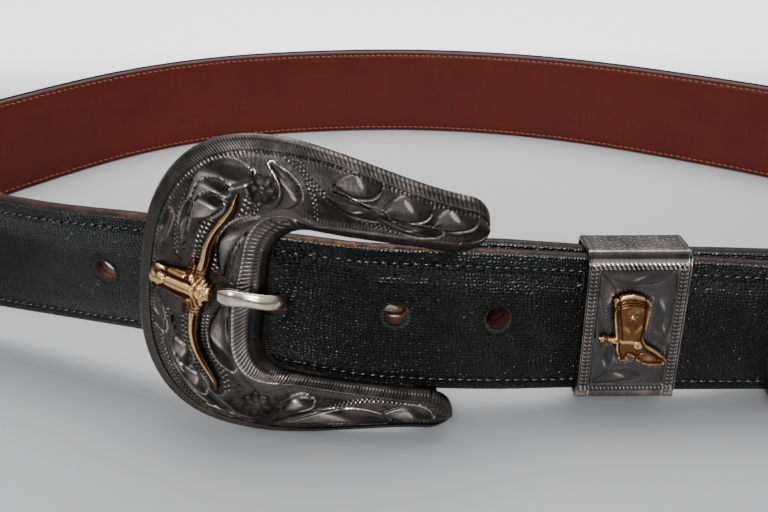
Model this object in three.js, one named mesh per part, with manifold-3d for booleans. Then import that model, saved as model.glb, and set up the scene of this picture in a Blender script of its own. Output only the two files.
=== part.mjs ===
// A western lizard leather belt, buckled and standing on its edge.
// Millimetres, +Z up, the wearer's waist goes in from above. The belt faces -Y,
// and the origin is on the table under the middle of the loop.
import * as THREE from 'three';
import * as BufferGeometryUtils from 'three/addons/utils/BufferGeometryUtils.js';
import Module from 'manifold-3d';

const wasm = await Module();
wasm.setup();

// Strap sizes
const strapWidth = 38;
const leatherWall = 1.9;
const layerGap = 0.3;
const edgeRound = 0.55;
const liningInset = 0.3;
const strapHalf = leatherWall + layerGap / 2;
const stationPitch = 9;
const skivedReturn = 30;
const returnClearance = 0.4;

// Holes of the free end, in order from the loop to the tip
const holePitch = 25.4;
const holeRadius = 3;
const lastHoleToEnd = 94;
const holeCount = 5;
const wornHole = 2;
const holeSides = 16;

// Buckle sizes, in the buckle's own frame: u to the right, v up, p forward
const buckleHalfHeight = 39.5;
const buckleLeft = -41.5;
const shoulderU = -9;
const upperPower = 2.4;
const lowerPower = 2.65;
const noseRadius = 6.3;
const noseU = 35.4;
const noseV = 25.7;
const openingHalf = 19;
const openingLeft = -8.5;
const openingCorner = 9;
const shellWall = 2.2;
const ropeBorder = 3.8;
const crownRise = 1.6;
const waistCurve = 560;

// Bar of the buckle, soldered to two lugs behind the arms
const barU = 34;
const barP = -14.5;
const barRadius = 1.8;
const lugInner = 20.9;
const lugThick = 3.2;
const lugLong = 6;
const fitGap = 0.3;
const foldMid = barRadius + fitGap + leatherWall / 2;
const barHeading = 5;
const strapBelowBar = 1.3;

// Where the buckle stands
const buckleAt = { x: -36.2, y: -105.4, z: 38.4 };
const buckleTurn = { yaw: -3.4, lean: 6.9, roll: 8 };

// Section of the buckle's shell, by shares of its rope borders and its field
const edgeDrop = 1.2;
const outerFall = 3.6;
const fieldSwell = 0.7;
const ropeSwell = 0.6;
const frontShares = [
  ['outer', 0], ['outer', 0.25], ['outer', 0.6], ['outer', 1],
  ['field', 0.25], ['field', 0.5], ['field', 0.75],
  ['inner', 1], ['inner', 0.6], ['inner', 0.25], ['inner', 0],
];
const backShares = [0.94, 0.5, 0.06];
const noseAngles = [14, 34, 54, 72, 90];
const armRows = 11;
const bowRows = 15;
const lugRoot = -1.2;
const lugOver = 1.2;

// Fold of the strap round the bar
const foldLeadIn = 9;
const tongueInset = 7;
const foldSteps = 8;
const liningStart = 8;
const slotLong = 15;
const slotReach = 6;
const slotTall = 5.6;
const wornShear = 0.6;
const wornShift = -2.4;
const wornLong = 1.15;
const wornTall = 1;
const wornRise = 0.3;

// Prong, by its middle line in the buckle's frame
const prongWide = 3.9;
const prongThick = 2.5;
const eyeRadius = 3.4;
const eyeV = -2.4;
const prongWay = [
  { u: -20.4, v: -1.2, p: 3.2, wide: 0.8, thick: 0.7 },
  { u: -19.4, v: -1.3, p: 3.4, wide: 1, thick: 1 },
  { u: -14, v: -1.8, p: 3.7, wide: 1, thick: 1 },
  { u: -10.6, v: -2.2, p: 3.8, wide: 1, thick: 1 },
  { u: -8.9, v: -2.4, p: 3.5, wide: 1, thick: 1 },
  { u: -7.5, v: -2.6, p: 1.6, wide: 1, thick: 1 },
  { u: -6.5, v: -2.7, p: -1.4, wide: 1, thick: 1 },
  { u: -5.4, v: -2.8, p: -4.8, wide: 1, thick: 1 },
  { u: -3.6, v: -2.9, p: -8, wide: 1, thick: 1 },
  { u: -1, v: -2.9, p: -9.6, wide: 1, thick: 1 },
  { u: 5, v: -2.8, p: -9.7, wide: 1, thick: 1 },
  { u: 17, v: -2.6, p: -9.8, wide: 1, thick: 1 },
  { u: 25, v: -2.4, p: -11, wide: 1, thick: 1 },
  { u: 32, v: -2.4, p: -13.7, wide: 1, thick: 0.9 },
];
const prongSection = [
  [-1, -0.5], [-0.8, -1], [0.8, -1], [1, -0.5], [1, 0.4], [0.6, 1], [-0.6, 1], [-1, 0.4],
];
const hornFlat = 0.8;

// Keeper band, a closed band of sheet metal round both straps
const keeperLong = 25.6;
const keeperWall = 1.1;
const keeperAt = 46.4;
const keeperRoll = 1.9;
const keeperFront = 3.9;
const keeperBack = 9.5;
const keeperHalf = 21.2;
const keeperCorner = 2.6;
const keeperBorder = 3.2;
const fieldInset = 2.4;
const fieldDepth = 0.5;

// End tip, a metal pocket over the end of the strap
const tipLong = 38;
const tipPocket = 17;
const tipWall = 1.1;
const tipGap = 0.6;
const tipPower = 2.4;
const tipBlunt = 0.012;
const tipShares = [0, 0.3, 0.5, 0.6, 0.7, 0.78, 0.85, 0.91, 0.955, 0.985, 1];

// The strap's way from the bar round the loop to the tip: the line between its
// two layers in plan, the lift of its lower edge, the outward tip of its upper
// edge in degrees, and its share of the bar's own tilt.
const strapWay = [
  { at: 'beside the bar', x: 8, y: -95.9, lift: 11.2, tip: -6, bar: 0.5 },
  { at: 'under the free end', x: 20, y: -94.9, lift: 9.8, tip: -6, bar: 0.15 },
  { at: 'before the keeper', x: 34, y: -93.1, lift: 8, tip: -4.9, bar: 0 },
  { at: 'behind the keeper', x: 59, y: -91.9, lift: 7, tip: -4.4, bar: 0 },
  { at: 'parting from the tip', x: 84, y: -88.9, lift: 5.5, tip: -1.5, bar: 0 },
  { at: 'front right', x: 109, y: -84.8, lift: 3.8, tip: 0, bar: 0 },
  { at: 'right bend starts', x: 134, y: -78.5, lift: 2.4, tip: 0, bar: 0 },
  { at: 'right bend front', x: 166, y: -60.3, lift: 1, tip: 0, bar: 0 },
  { at: 'right bend', x: 184, y: -29.2, lift: 0.2, tip: 0, bar: 0 },
  { at: 'right end', x: 185.5, y: 3, lift: 0, tip: 0, bar: 0 },
  { at: 'right bend back', x: 172, y: 32, lift: 0, tip: 0, bar: 0 },
  { at: 'back right', x: 152, y: 50, lift: 0, tip: 0, bar: 0 },
  { at: 'back right', x: 114, y: 73.1, lift: 0, tip: 0, bar: 0 },
  { at: 'back right', x: 74, y: 92.8, lift: 0, tip: 0, bar: 0 },
  { at: 'back', x: 34, y: 105.1, lift: 0, tip: 0, bar: 0 },
  { at: 'back middle', x: -6, y: 110, lift: 0, tip: 0, bar: 0 },
  { at: 'back', x: -46, y: 108.1, lift: 0, tip: 0, bar: 0 },
  { at: 'back left', x: -86, y: 99.7, lift: 0, tip: 0, bar: 0 },
  { at: 'back left', x: -126, y: 79.1, lift: 0, tip: 0, bar: 0 },
  { at: 'left bend back', x: -156, y: 51.6, lift: 0, tip: 0, bar: 0 },
  { at: 'left bend back', x: -179, y: 22, lift: 0.8, tip: 0, bar: 0 },
  { at: 'left end', x: -187, y: -6, lift: 3.5, tip: 0, bar: 0 },
  { at: 'left bend front', x: -179, y: -32, lift: 7.5, tip: 0.5, bar: 0 },
  { at: 'left bend front', x: -161, y: -50, lift: 10.8, tip: 3, bar: 0 },
  { at: 'front left', x: -128, y: -64.8, lift: 13.2, tip: 6, bar: 0 },
  { at: 'first hole', x: -96, y: -76.3, lift: 15, tip: 8.9, bar: 0 },
  { at: 'behind the buckle', x: -66, y: -88.5, lift: 16.5, tip: 5.5, bar: 0 },
  { at: 'under the rim', x: -46, y: -97.9, lift: 16.4, tip: 0.7, bar: 0 },
  { at: 'worn hole', x: -36, y: -100.7, lift: 16, tip: -1.5, bar: 0 },
  { at: 'between the arms', x: -26, y: -102.2, lift: 14.7, tip: -3.3, bar: 0 },
  { at: 'between the arms', x: -16, y: -102.7, lift: 13.7, tip: -4.6, bar: 0 },
  { at: 'over the bar', x: -4, y: -102.3, lift: 12.4, tip: -5.9, bar: 0 },
  { at: 'past the arms', x: 14, y: -100.2, lift: 10.2, tip: -6, bar: 0 },
  { at: 'before the keeper', x: 34, y: -97.9, lift: 8.3, tip: -4.9, bar: 0 },
  { at: 'in the keeper', x: 59, y: -97.4, lift: 7.3, tip: -4.4, bar: 0 },
  { at: 'mouth of the tip', x: 84, y: -96.3, lift: 6, tip: -1.5, bar: 0 },
  { at: 'end', x: 104, y: -95.4, lift: 4.9, tip: -1.1, bar: 0 },
];

// Longhorn in its own frame: along the head from the poll, then across
const longhornAt = { u: -22.6, v: 0 };
const longhornTurn = -2;
const hornWay = [
  { along: -1.9, out: 1.5, radius: 1.5 },
  { along: -2.2, out: 4.4, radius: 1.65 },
  { along: -2.4, out: 7.3, radius: 1.6 },
  { along: -2.3, out: 11.5, radius: 1.4 },
  { along: -1.3, out: 15, radius: 1.2 },
  { along: 0.6, out: 18.5, radius: 1.05 },
  { along: 2.6, out: 21.3, radius: 0.9 },
  { along: 3.8, out: 23.5, radius: 0.75 },
  { along: 4.3, out: 26, radius: 0.45 },
];
const headWay = [
  { along: 1.6, half: 0.9, rise: 1.2 },
  { along: 0.8, half: 1.9, rise: 2.4 },
  { along: -1.2, half: 2.7, rise: 3.1 },
  { along: -3.6, half: 3.4, rise: 3.2 },
  { along: -6, half: 4.1, rise: 3 },
  { along: -8.4, half: 3.8, rise: 2.7 },
  { along: -11, half: 3.1, rise: 2.5 },
  { along: -13, half: 3, rise: 2.4 },
  { along: -14.3, half: 2.3, rise: 1.6 },
];
const earWay = [
  { along: -4.6, out: 3.4, radius: 1.1 },
  { along: -4.9, out: 5.2, radius: 1.2 },
  { along: -5.2, out: 6.9, radius: 0.8 },
  { along: -5.4, out: 7.9, radius: 0.3 },
];

// Boot on the keeper: outline from the top of the shaft, clockwise
const bootOutline = [
  { x: -4.5, z: 8.7 }, { x: -2.4, z: 9.9 }, { x: 0.2, z: 10.3 }, { x: 2.8, z: 9.7 },
  { x: 4.8, z: 8.4 }, { x: 4.2, z: 4.6 }, { x: 3.4, z: 0.8 }, { x: 2.7, z: -2.9 },
  { x: 3.6, z: -4.6 }, { x: 5.6, z: -6.4 }, { x: 8, z: -8.2 }, { x: 8.6, z: -9.6 },
  { x: 7.8, z: -10.7 }, { x: 4, z: -10.7 }, { x: 1.6, z: -9.7 }, { x: -0.4, z: -7.6 },
  { x: -1, z: -7.6 }, { x: -1.6, z: -9.3 }, { x: -3.6, z: -9.3 }, { x: -4.3, z: -5.9 },
  { x: -4.2, z: -3.9 }, { x: -5.4, z: -3.7 }, { x: -5.4, z: -2.5 }, { x: -4.3, z: -2.3 },
  { x: -4.6, z: 3.3 },
];
const bootThick = 1.1;
const bootBevel = 0.45;
const rowelRadius = 1.9;
const rowelPoints = 7;
const rowelAt = { x: -6.9, z: -3.1 };

// Middle of the loop's box in plan, moved to the origin
const loopMiddle = { x: -0.27, y: 0.36 };

const degrees = THREE.MathUtils.degToRad;
const up = new THREE.Vector3(0, 0, 1);

// Natural cubic spline through the rows of a table, over their distance in plan
function splineThrough(rows, columns) {
  const knots = [0];
  for (let i = 1; i < rows.length; i += 1) {
    const step = Math.hypot(rows[i].x - rows[i - 1].x, rows[i].y - rows[i - 1].y);
    knots.push(knots[i - 1] + step);
  }
  const bends = {};
  for (const column of columns) bends[column] = naturalBends(knots, rows.map((row) => row[column]));
  const length = knots[knots.length - 1];
  const at = (s) => {
    let i = 0;
    while (i < knots.length - 2 && s > knots[i + 1]) i += 1;
    const h = knots[i + 1] - knots[i];
    const a = (knots[i + 1] - s) / h;
    const b = (s - knots[i]) / h;
    const value = {};
    for (const column of columns) {
      const m = bends[column];
      const from = rows[i][column];
      const to = rows[i + 1][column];
      const curve = ((a ** 3 - a) * m[i] + (b ** 3 - b) * m[i + 1]) * h * h / 6;
      value[column] = a * from + b * to + curve;
    }
    return value;
  };
  return { knots, length, at };
}

function naturalBends(knots, values) {
  const n = knots.length;
  const m = new Array(n).fill(0);
  const c = new Array(n).fill(0);
  const d = new Array(n).fill(0);
  for (let i = 1; i < n - 1; i += 1) {
    const before = knots[i] - knots[i - 1];
    const after = knots[i + 1] - knots[i];
    const slope = (values[i + 1] - values[i]) / after - (values[i] - values[i - 1]) / before;
    const pivot = 2 * (before + after) - before * c[i - 1];
    c[i] = after / pivot;
    d[i] = (6 * slope - before * d[i - 1]) / pivot;
  }
  for (let i = n - 2; i > 0; i -= 1) m[i] = d[i] - c[i] * m[i + 1];
  return m;
}

// Closed body from rings of equal point count, with its ends capped
function loft(rings) {
  const count = rings[0].length;
  const positions = [];
  const faces = [];
  for (const ring of rings) for (const point of ring) positions.push(point.x, point.y, point.z);
  for (let i = 0; i < rings.length - 1; i += 1) {
    for (let j = 0; j < count; j += 1) {
      const k = (j + 1) % count;
      const a = i * count + j;
      const b = i * count + k;
      faces.push(a, b, b + count, a, b + count, a + count);
    }
  }
  const last = (rings.length - 1) * count;
  for (let j = 1; j < count - 1; j += 1) {
    faces.push(0, j + 1, j);
    faces.push(last, last + j, last + j + 1);
  }
  return facingOut(positions, faces);
}

function facingOut(positions, faces) {
  const corner = (i) => new THREE.Vector3().fromArray(positions, faces[i] * 3);
  let volume = 0;
  for (let i = 0; i < faces.length; i += 3) {
    volume += corner(i).dot(corner(i + 1).cross(corner(i + 2)));
  }
  if (volume < 0) {
    for (let i = 0; i < faces.length; i += 3) [faces[i], faces[i + 1]] = [faces[i + 1], faces[i]];
  }
  const geometry = new THREE.BufferGeometry();
  geometry.setAttribute('position', new THREE.Float32BufferAttribute(positions, 3));
  geometry.setIndex(faces);
  return geometry;
}

// Solids for cutting and joining
function toSolid(source) {
  let geometry = source.clone();
  geometry.deleteAttribute('normal');
  geometry.deleteAttribute('uv');
  geometry = BufferGeometryUtils.mergeVertices(geometry, 1e-4);
  return new wasm.Manifold(new wasm.Mesh({
    numProp: 3,
    vertProperties: new Float32Array(geometry.attributes.position.array),
    triVerts: new Uint32Array(geometry.index.array),
  }));
}

function fromSolid(solid) {
  const mesh = solid.getMesh();
  const geometry = new THREE.BufferGeometry();
  const corners = new Float32Array(mesh.vertProperties);
  geometry.setAttribute('position', new THREE.BufferAttribute(corners, 3));
  geometry.setIndex(Array.from(mesh.triVerts));
  return geometry;
}

function joined(geometries) {
  let solid = toSolid(geometries[0]);
  for (const geometry of geometries.slice(1)) solid = solid.add(toSolid(geometry));
  return fromSolid(solid);
}

function cutBy(geometry, cutters) {
  let solid = toSolid(geometry);
  for (const cutter of cutters) solid = solid.subtract(toSolid(cutter));
  return fromSolid(solid);
}

// The buckle's frame in the belt: x along u, y backward, z along v
const buckleMatrix = new THREE.Matrix4().makeRotationFromEuler(new THREE.Euler(
  degrees(-buckleTurn.lean), degrees(buckleTurn.roll), degrees(buckleTurn.yaw), 'ZXY'));
buckleMatrix.setPosition(buckleAt.x, buckleAt.y, buckleAt.z);

function inBelt(u, v, p) {
  return new THREE.Vector3(u, -p, v).applyMatrix4(buckleMatrix);
}

// The strap's frame at the bar follows the bar's own axis
const barCentre = inBelt(barU, 0, barP);
const barUp = inBelt(barU, 1, barP).sub(barCentre).normalize();
const barAlong = new THREE.Vector3(Math.cos(degrees(barHeading)), Math.sin(degrees(barHeading)), 0);
barAlong.addScaledVector(barUp, -barAlong.dot(barUp)).normalize();
const barOut = new THREE.Vector3().crossVectors(barAlong, barUp);
const barRow = barCentre.clone().addScaledVector(barOut, foldMid - layerGap / 2 - leatherWall / 2);
barRow.addScaledVector(barUp, -strapWidth / 2 - strapBelowBar);

const startRow = { at: 'at the bar', x: barRow.x, y: barRow.y, lift: barRow.z, tip: -6, bar: 1 };
const strapRows = [startRow, ...strapWay];
const way = splineThrough(strapRows, ['x', 'y', 'lift', 'tip', 'bar']);

// Section frame of the strap at a distance from the bar
function frameAt(distance) {
  const s = Math.min(Math.max(distance, 0), way.length);
  const here = way.at(s);
  const step = 0.5;
  const before = way.at(Math.max(s - step, 0));
  const after = way.at(Math.min(s + step, way.length));
  const along = new THREE.Vector3(after.x - before.x, after.y - before.y, after.lift - before.lift);
  along.normalize();
  const out = new THREE.Vector3(along.y, -along.x, 0).normalize();
  const top = up.clone().applyAxisAngle(along, degrees(here.tip));
  top.addScaledVector(along, -top.dot(along)).normalize();
  const share = THREE.MathUtils.clamp(here.bar, 0, 1);
  top.lerp(barUp, share).normalize();
  out.crossVectors(along, top).normalize();
  return { origin: new THREE.Vector3(here.x, here.y, Math.max(here.lift, 0)), along, top, out };
}

function inFrame(frame, along, out, height) {
  return frame.origin.clone()
    .addScaledVector(frame.along, along)
    .addScaledVector(frame.out, out)
    .addScaledVector(frame.top, height);
}

// Section of one leather layer: square on the glued side, rounded on the other
function layerRing(frame, glued, face, inset) {
  const side = Math.sign(face - glued);
  const low = inset;
  const high = strapWidth - inset;
  const corners = [
    [glued, low], [face - side * edgeRound, low], [face, low + edgeRound],
    [face, high - edgeRound], [face - side * edgeRound, high], [glued, high],
  ];
  return corners.map(([out, height]) => inFrame(frame, 0, out, height));
}

function stationsBetween(from, to) {
  const count = Math.ceil((to - from) / stationPitch);
  return Array.from({ length: count + 1 }, (_, i) => from + (to - from) * i / count);
}

const holeDistances = Array.from({ length: holeCount }, (_, i) => (
  way.length - lastHoleToEnd - holePitch * (holeCount - 1 - i)));

// Round holes go straight through; the one in use is stretched along the prong
function holeCutters() {
  return holeDistances.map((distance, i) => {
    const frame = frameAt(distance);
    const cutter = new THREE.CylinderGeometry(holeRadius, holeRadius, 12, holeSides);
    const back = frame.out.clone().negate();
    const basis = new THREE.Matrix4().makeBasis(frame.along, back, frame.top);
    if (i === wornHole) {
      cutter.scale(wornLong, 1, wornTall);
      cutter.applyMatrix4(new THREE.Matrix4().makeShear(0, 0, wornShear, 0, 0, 0));
    }
    cutter.applyMatrix4(basis);
    const [shift, rise] = i === wornHole ? [wornShift, wornRise] : [0, 0];
    const centre = inFrame(frame, shift, 0, strapWidth / 2 + rise);
    cutter.translate(centre.x, centre.y, centre.z);
    return cutter;
  });
}

// Outer leather: the skived end behind the bar, the turn round it, then the loop
function foldFrames() {
  const frames = [];
  for (const s of stationsBetween(0, skivedReturn).reverse()) {
    const frame = frameAt(s);
    const fade = Math.max(0, 1 - s / foldLeadIn);
    const seated = -(strapHalf + returnClearance + leatherWall / 2);
    const atBar = -(2 * foldMid - strapHalf + leatherWall / 2);
    const out = seated + (atBar - seated) * fade;
    const inset = tongueInset * s / skivedReturn;
    const origin = inFrame(frame, 0, out, 0);
    frames.push({ ...frame, origin, out: frame.out.clone().negate(), inset });
  }
  const start = frameAt(0);
  const axis = barCentre.clone().addScaledVector(barUp, -strapWidth / 2 - strapBelowBar);
  for (let i = 1; i < foldSteps; i += 1) {
    const turn = Math.PI * i / foldSteps;
    const out = start.out.clone().multiplyScalar(-Math.cos(turn));
    out.addScaledVector(start.along, -Math.sin(turn));
    const origin = axis.clone().addScaledVector(out, foldMid);
    frames.push({ origin, along: start.along, top: start.top, out });
  }
  return frames;
}

function middleRing(frame) {
  return layerRing(frame, -leatherWall / 2, leatherWall / 2, frame.inset ?? 0);
}

function lizardStrap() {
  const rings = foldFrames().map(middleRing);
  for (const s of stationsBetween(0, way.length)) {
    rings.push(layerRing(frameAt(s), layerGap / 2, strapHalf, 0));
  }
  return cutBy(loft(rings), [...holeCutters(), slotCutter()]);
}

function strapLining() {
  const rings = stationsBetween(liningStart, way.length).map((s) => (
    layerRing(frameAt(s), -layerGap / 2, -strapHalf, liningInset)));
  return cutBy(loft(rings), holeCutters());
}

// Slot in the fold for the prong's eye
function slotCutter() {
  const frame = frameAt(0);
  const slot = new THREE.BoxGeometry(slotLong, 4 * foldMid, slotTall);
  slot.translate(slotLong / 2 - slotReach, 0, 0);
  const back = frame.out.clone().negate();
  slot.applyMatrix4(new THREE.Matrix4().makeBasis(frame.along, back, frame.top));
  const centre = barCentre.clone().addScaledVector(barUp, eyeV);
  slot.translate(centre.x, centre.y, centre.z);
  return slot;
}

// Half outline of the buckle, from the nose of an arm to the middle of the left
// side: the outer and the inner edge of one row
function buckleRows(power) {
  const rows = [];
  for (const angle of noseAngles) {
    const turn = degrees(angle);
    const u = noseU + noseRadius * Math.cos(turn);
    const rise = noseRadius * Math.sin(turn);
    rows.push({ outer: [u, noseV + rise], inner: [u, noseV - rise] });
  }
  for (let i = 1; i <= armRows; i += 1) {
    const share = i / armRows;
    const outerU = THREE.MathUtils.lerp(noseU, shoulderU, share);
    const innerU = THREE.MathUtils.lerp(noseU, openingLeft + openingCorner, share);
    rows.push({ outer: [outerU, armEdge(outerU)], inner: [innerU, openingHalf] });
  }
  for (let i = 1; i <= bowRows; i += 1) {
    const share = i / bowRows;
    const turn = share * Math.PI / 2;
    const reach = shoulderU - buckleLeft;
    const outerU = shoulderU - reach * Math.sin(turn) ** (2 / power);
    const outerV = buckleHalfHeight * Math.max(Math.cos(turn), 0) ** (2 / power);
    rows.push({ outer: [outerU, outerV], inner: openingEdge(share) });
  }
  return rows;
}

// Upper edge of an arm, from the shoulder down to the nose
function armEdge(u) {
  const share = (u - shoulderU) / (noseU - shoulderU);
  const eased = 0.6 * share * share * (3 - 2 * share) + 0.4 * share ** 1.3;
  return THREE.MathUtils.lerp(buckleHalfHeight, noseV + noseRadius, eased);
}

// Rounded corner and left side of the opening
function openingEdge(share) {
  const arc = openingCorner * Math.PI / 2;
  const straight = openingHalf - openingCorner;
  const walked = share * (arc + straight);
  if (walked > arc) return [openingLeft, straight - (walked - arc)];
  const turn = walked / openingCorner;
  const u = openingLeft + openingCorner * (1 - Math.sin(turn));
  return [u, straight + openingCorner * Math.cos(turn)];
}

// Height of the front over the buckle's plane, by the distance from both edges
function crownHeight(u, fromOuter, width) {
  const scale = Math.min(1, width / (2 * noseRadius));
  const fromInner = width - fromOuter;
  const border = ropeBorder * scale;
  let height = crownRise - (u - barU / 8) ** 2 / waistCurve;
  const middle = THREE.MathUtils.clamp((fromOuter - border) / (width - 2 * border), 0, 1);
  height -= outerFall * (1 - Math.sin(Math.PI / 2 * Math.min(1, 1.5 * fromOuter / width)));
  height += fieldSwell * Math.sin(Math.PI * middle) * scale;
  height += ropeSwell * ropeShape(fromOuter / border) * scale;
  height += ropeSwell * ropeShape(fromInner / border) * scale;
  return height;
}

// Rounded section of a rope border, nought at both its sides
function ropeShape(share) {
  if (share >= 1) return 0;
  return Math.sin(Math.PI * Math.max(share, 0)) ** 0.5;
}

function buckleRing(row, side) {
  const outer = new THREE.Vector2(row.outer[0], row.outer[1] * side);
  const inner = new THREE.Vector2(row.inner[0], row.inner[1] * side);
  const width = outer.distanceTo(inner);
  const scale = Math.min(1, width / (2 * noseRadius));
  const border = ropeBorder * scale;
  const fronts = frontShares.map(([from, share]) => {
    if (from === 'outer') return border * share;
    if (from === 'inner') return width - border * share;
    return border + (width - 2 * border) * share;
  });
  const place = (distance, drop) => {
    const spot = outer.clone().lerp(inner, distance / width);
    const height = crownHeight(spot.x, distance, width) - drop;
    return inBelt(spot.x, spot.y, height);
  };
  const ring = fronts.map((distance) => {
    const atEdge = distance === 0 || distance === width;
    return place(distance, atEdge ? edgeDrop : 0);
  });
  for (const share of backShares) ring.push(place(width * share, shellWall));
  return ring;
}

function buckleFrame() {
  const upper = buckleRows(upperPower).map((row) => buckleRing(row, 1));
  const lower = buckleRows(lowerPower).slice(0, -1).reverse().map((row) => buckleRing(row, -1));
  const shell = loft([...upper, ...lower]);
  const bar = new THREE.CylinderGeometry(barRadius, barRadius, 2 * (lugInner + lugThick / 2), 14);
  bar.rotateX(Math.PI / 2);
  bar.translate(barU, -barP, 0);
  bar.applyMatrix4(buckleMatrix);
  const lugs = [1, -1].map((side) => {
    const depth = lugRoot - (barP - barRadius - lugOver);
    const lug = new THREE.BoxGeometry(lugLong, depth, lugThick);
    lug.translate(barU, -(lugRoot - depth / 2), side * (lugInner + lugThick / 2));
    return lug.applyMatrix4(buckleMatrix);
  });
  return joined([shell, bar, ...lugs]);
}

// Front of the buckle under a point, for seating what lies on it
function frontAt(u, v) {
  let best = { far: Infinity, height: 0 };
  for (const row of buckleRows(v > 0 ? upperPower : lowerPower)) {
    const outer = new THREE.Vector2(row.outer[0], row.outer[1]);
    const inner = new THREE.Vector2(row.inner[0], row.inner[1]);
    const spot = new THREE.Vector2(u, Math.abs(v));
    const across = inner.clone().sub(outer);
    const width = across.length();
    const walked = THREE.MathUtils.clamp(spot.clone().sub(outer).dot(across) / width, 0, width);
    const far = outer.clone().lerp(inner, walked / width).distanceTo(spot);
    if (far < best.far) best = { far, height: crownHeight(u, walked, width) };
  }
  return best.height;
}

// Longhorn head, cast in relief and seated on the crown of the buckle
function longhornPoint(along, across, rise) {
  const turn = degrees(longhornTurn);
  const u = longhornAt.u + along * Math.cos(turn) - across * Math.sin(turn);
  const v = longhornAt.v + along * Math.sin(turn) + across * Math.cos(turn);
  return inBelt(u, v, frontAt(u, v) + fitGap + rise);
}

function hornRings(rows, side, sides) {
  return rows.map((row, i) => {
    const before = rows[Math.max(i - 1, 0)];
    const after = rows[Math.min(i + 1, rows.length - 1)];
    const heading = Math.atan2(after.out - before.out, after.along - before.along);
    return Array.from({ length: sides }, (_, k) => {
      const turn = 2 * Math.PI * k / sides;
      const reach = row.radius * Math.cos(turn);
      const along = row.along + reach * Math.sin(heading);
      const out = row.out - reach * Math.cos(heading);
      const rise = row.radius * (1 + hornFlat * Math.sin(turn)) - row.radius * (1 - hornFlat);
      return longhornPoint(along, side * out, rise);
    });
  });
}

function longhornHead() {
  const head = loft(headWay.map((row) => Array.from({ length: 12 }, (_, k) => {
    const turn = Math.PI * k / 11;
    const cheek = Math.sin(turn) ** 0.8;
    return longhornPoint(row.along, -row.half * Math.cos(turn), row.rise * cheek);
  })));
  const limbs = [1, -1].flatMap((side) => [
    loft(hornRings(hornWay, side, 8)),
    loft(hornRings(earWay, side, 6)),
  ]);
  return joined([head, ...limbs]);
}

// Prong: an eye round the bar and a bent tongue through the worn hole
function prongRings() {
  return prongWay.map((row, i) => {
    const before = prongWay[Math.max(i - 1, 0)];
    const after = prongWay[Math.min(i + 1, prongWay.length - 1)];
    const heading = Math.atan2(after.p - before.p, after.u - before.u);
    const halfWide = prongWide / 2 * row.wide;
    const halfThick = prongThick / 2 * row.thick;
    return prongSection.map(([across, high]) => inBelt(
      row.u - high * halfThick * Math.sin(heading),
      row.v + across * halfWide,
      row.p + high * halfThick * Math.cos(heading)));
  });
}

function prong() {
  const eye = new THREE.CylinderGeometry(eyeRadius, eyeRadius, prongWide, 20);
  eye.rotateX(Math.PI / 2);
  eye.translate(barU, -barP, eyeV);
  eye.applyMatrix4(buckleMatrix);
  const bore = new THREE.CylinderGeometry(barRadius + fitGap, barRadius + fitGap, 12, 16);
  bore.rotateX(Math.PI / 2);
  bore.translate(barU, -barP, eyeV);
  bore.applyMatrix4(buckleMatrix);
  return cutBy(joined([eye, loft(prongRings())]), [bore]);
}

// Frame of the keeper: upright on the strap, its face outward
const keeperSeat = frameAt(nearestTo(keeperAt, way.length - 5 * holePitch));
const keeperMiddle = inFrame(keeperSeat, 0, 0, strapWidth / 2);
const keeperMatrix = new THREE.Matrix4().makeBasis(
  keeperSeat.along, keeperSeat.out.clone().negate(), keeperSeat.top);
keeperMatrix.multiply(new THREE.Matrix4().makeRotationY(degrees(-keeperRoll)));
keeperMatrix.setPosition(keeperMiddle);

// Distance along the strap, near its end, where it passes a place in X
function nearestTo(x, from) {
  let s = from;
  while (way.at(s).x < x) s += 0.1;
  return s;
}

function roundedRect(left, right, low, high, radius, steps) {
  const corners = [
    [right - radius, high - radius, 0], [left + radius, high - radius, 90],
    [left + radius, low + radius, 180], [right - radius, low + radius, 270],
  ];
  return corners.flatMap(([x, y, start]) => Array.from({ length: steps + 1 }, (_, k) => {
    const turn = degrees(start + 90 * k / steps);
    return new THREE.Vector2(x + radius * Math.cos(turn), y + radius * Math.sin(turn));
  }));
}

function keeperBand() {
  const inner = keeperCorner - keeperWall;
  const band = new THREE.Shape(roundedRect(
    -keeperFront, keeperBack, -keeperHalf, keeperHalf, keeperCorner, 4));
  band.holes.push(new THREE.Path(roundedRect(
    keeperWall - keeperFront, keeperBack - keeperWall,
    keeperWall - keeperHalf, keeperHalf - keeperWall, inner, 4)));
  const ring = new THREE.ExtrudeGeometry(band, { depth: keeperLong, bevelEnabled: false, steps: 1 });
  ring.translate(0, 0, -keeperLong / 2);
  const lay = new THREE.Matrix4().makeBasis(
    new THREE.Vector3(0, 1, 0), new THREE.Vector3(0, 0, 1), new THREE.Vector3(1, 0, 0));
  ring.applyMatrix4(lay);
  const field = new THREE.BoxGeometry(
    keeperLong - 2 * keeperBorder, fieldDepth, 2 * (keeperHalf - keeperCorner - fieldInset));
  field.translate(0, -keeperFront, 0);
  return cutBy(ring, [field]).applyMatrix4(keeperMatrix);
}

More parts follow.
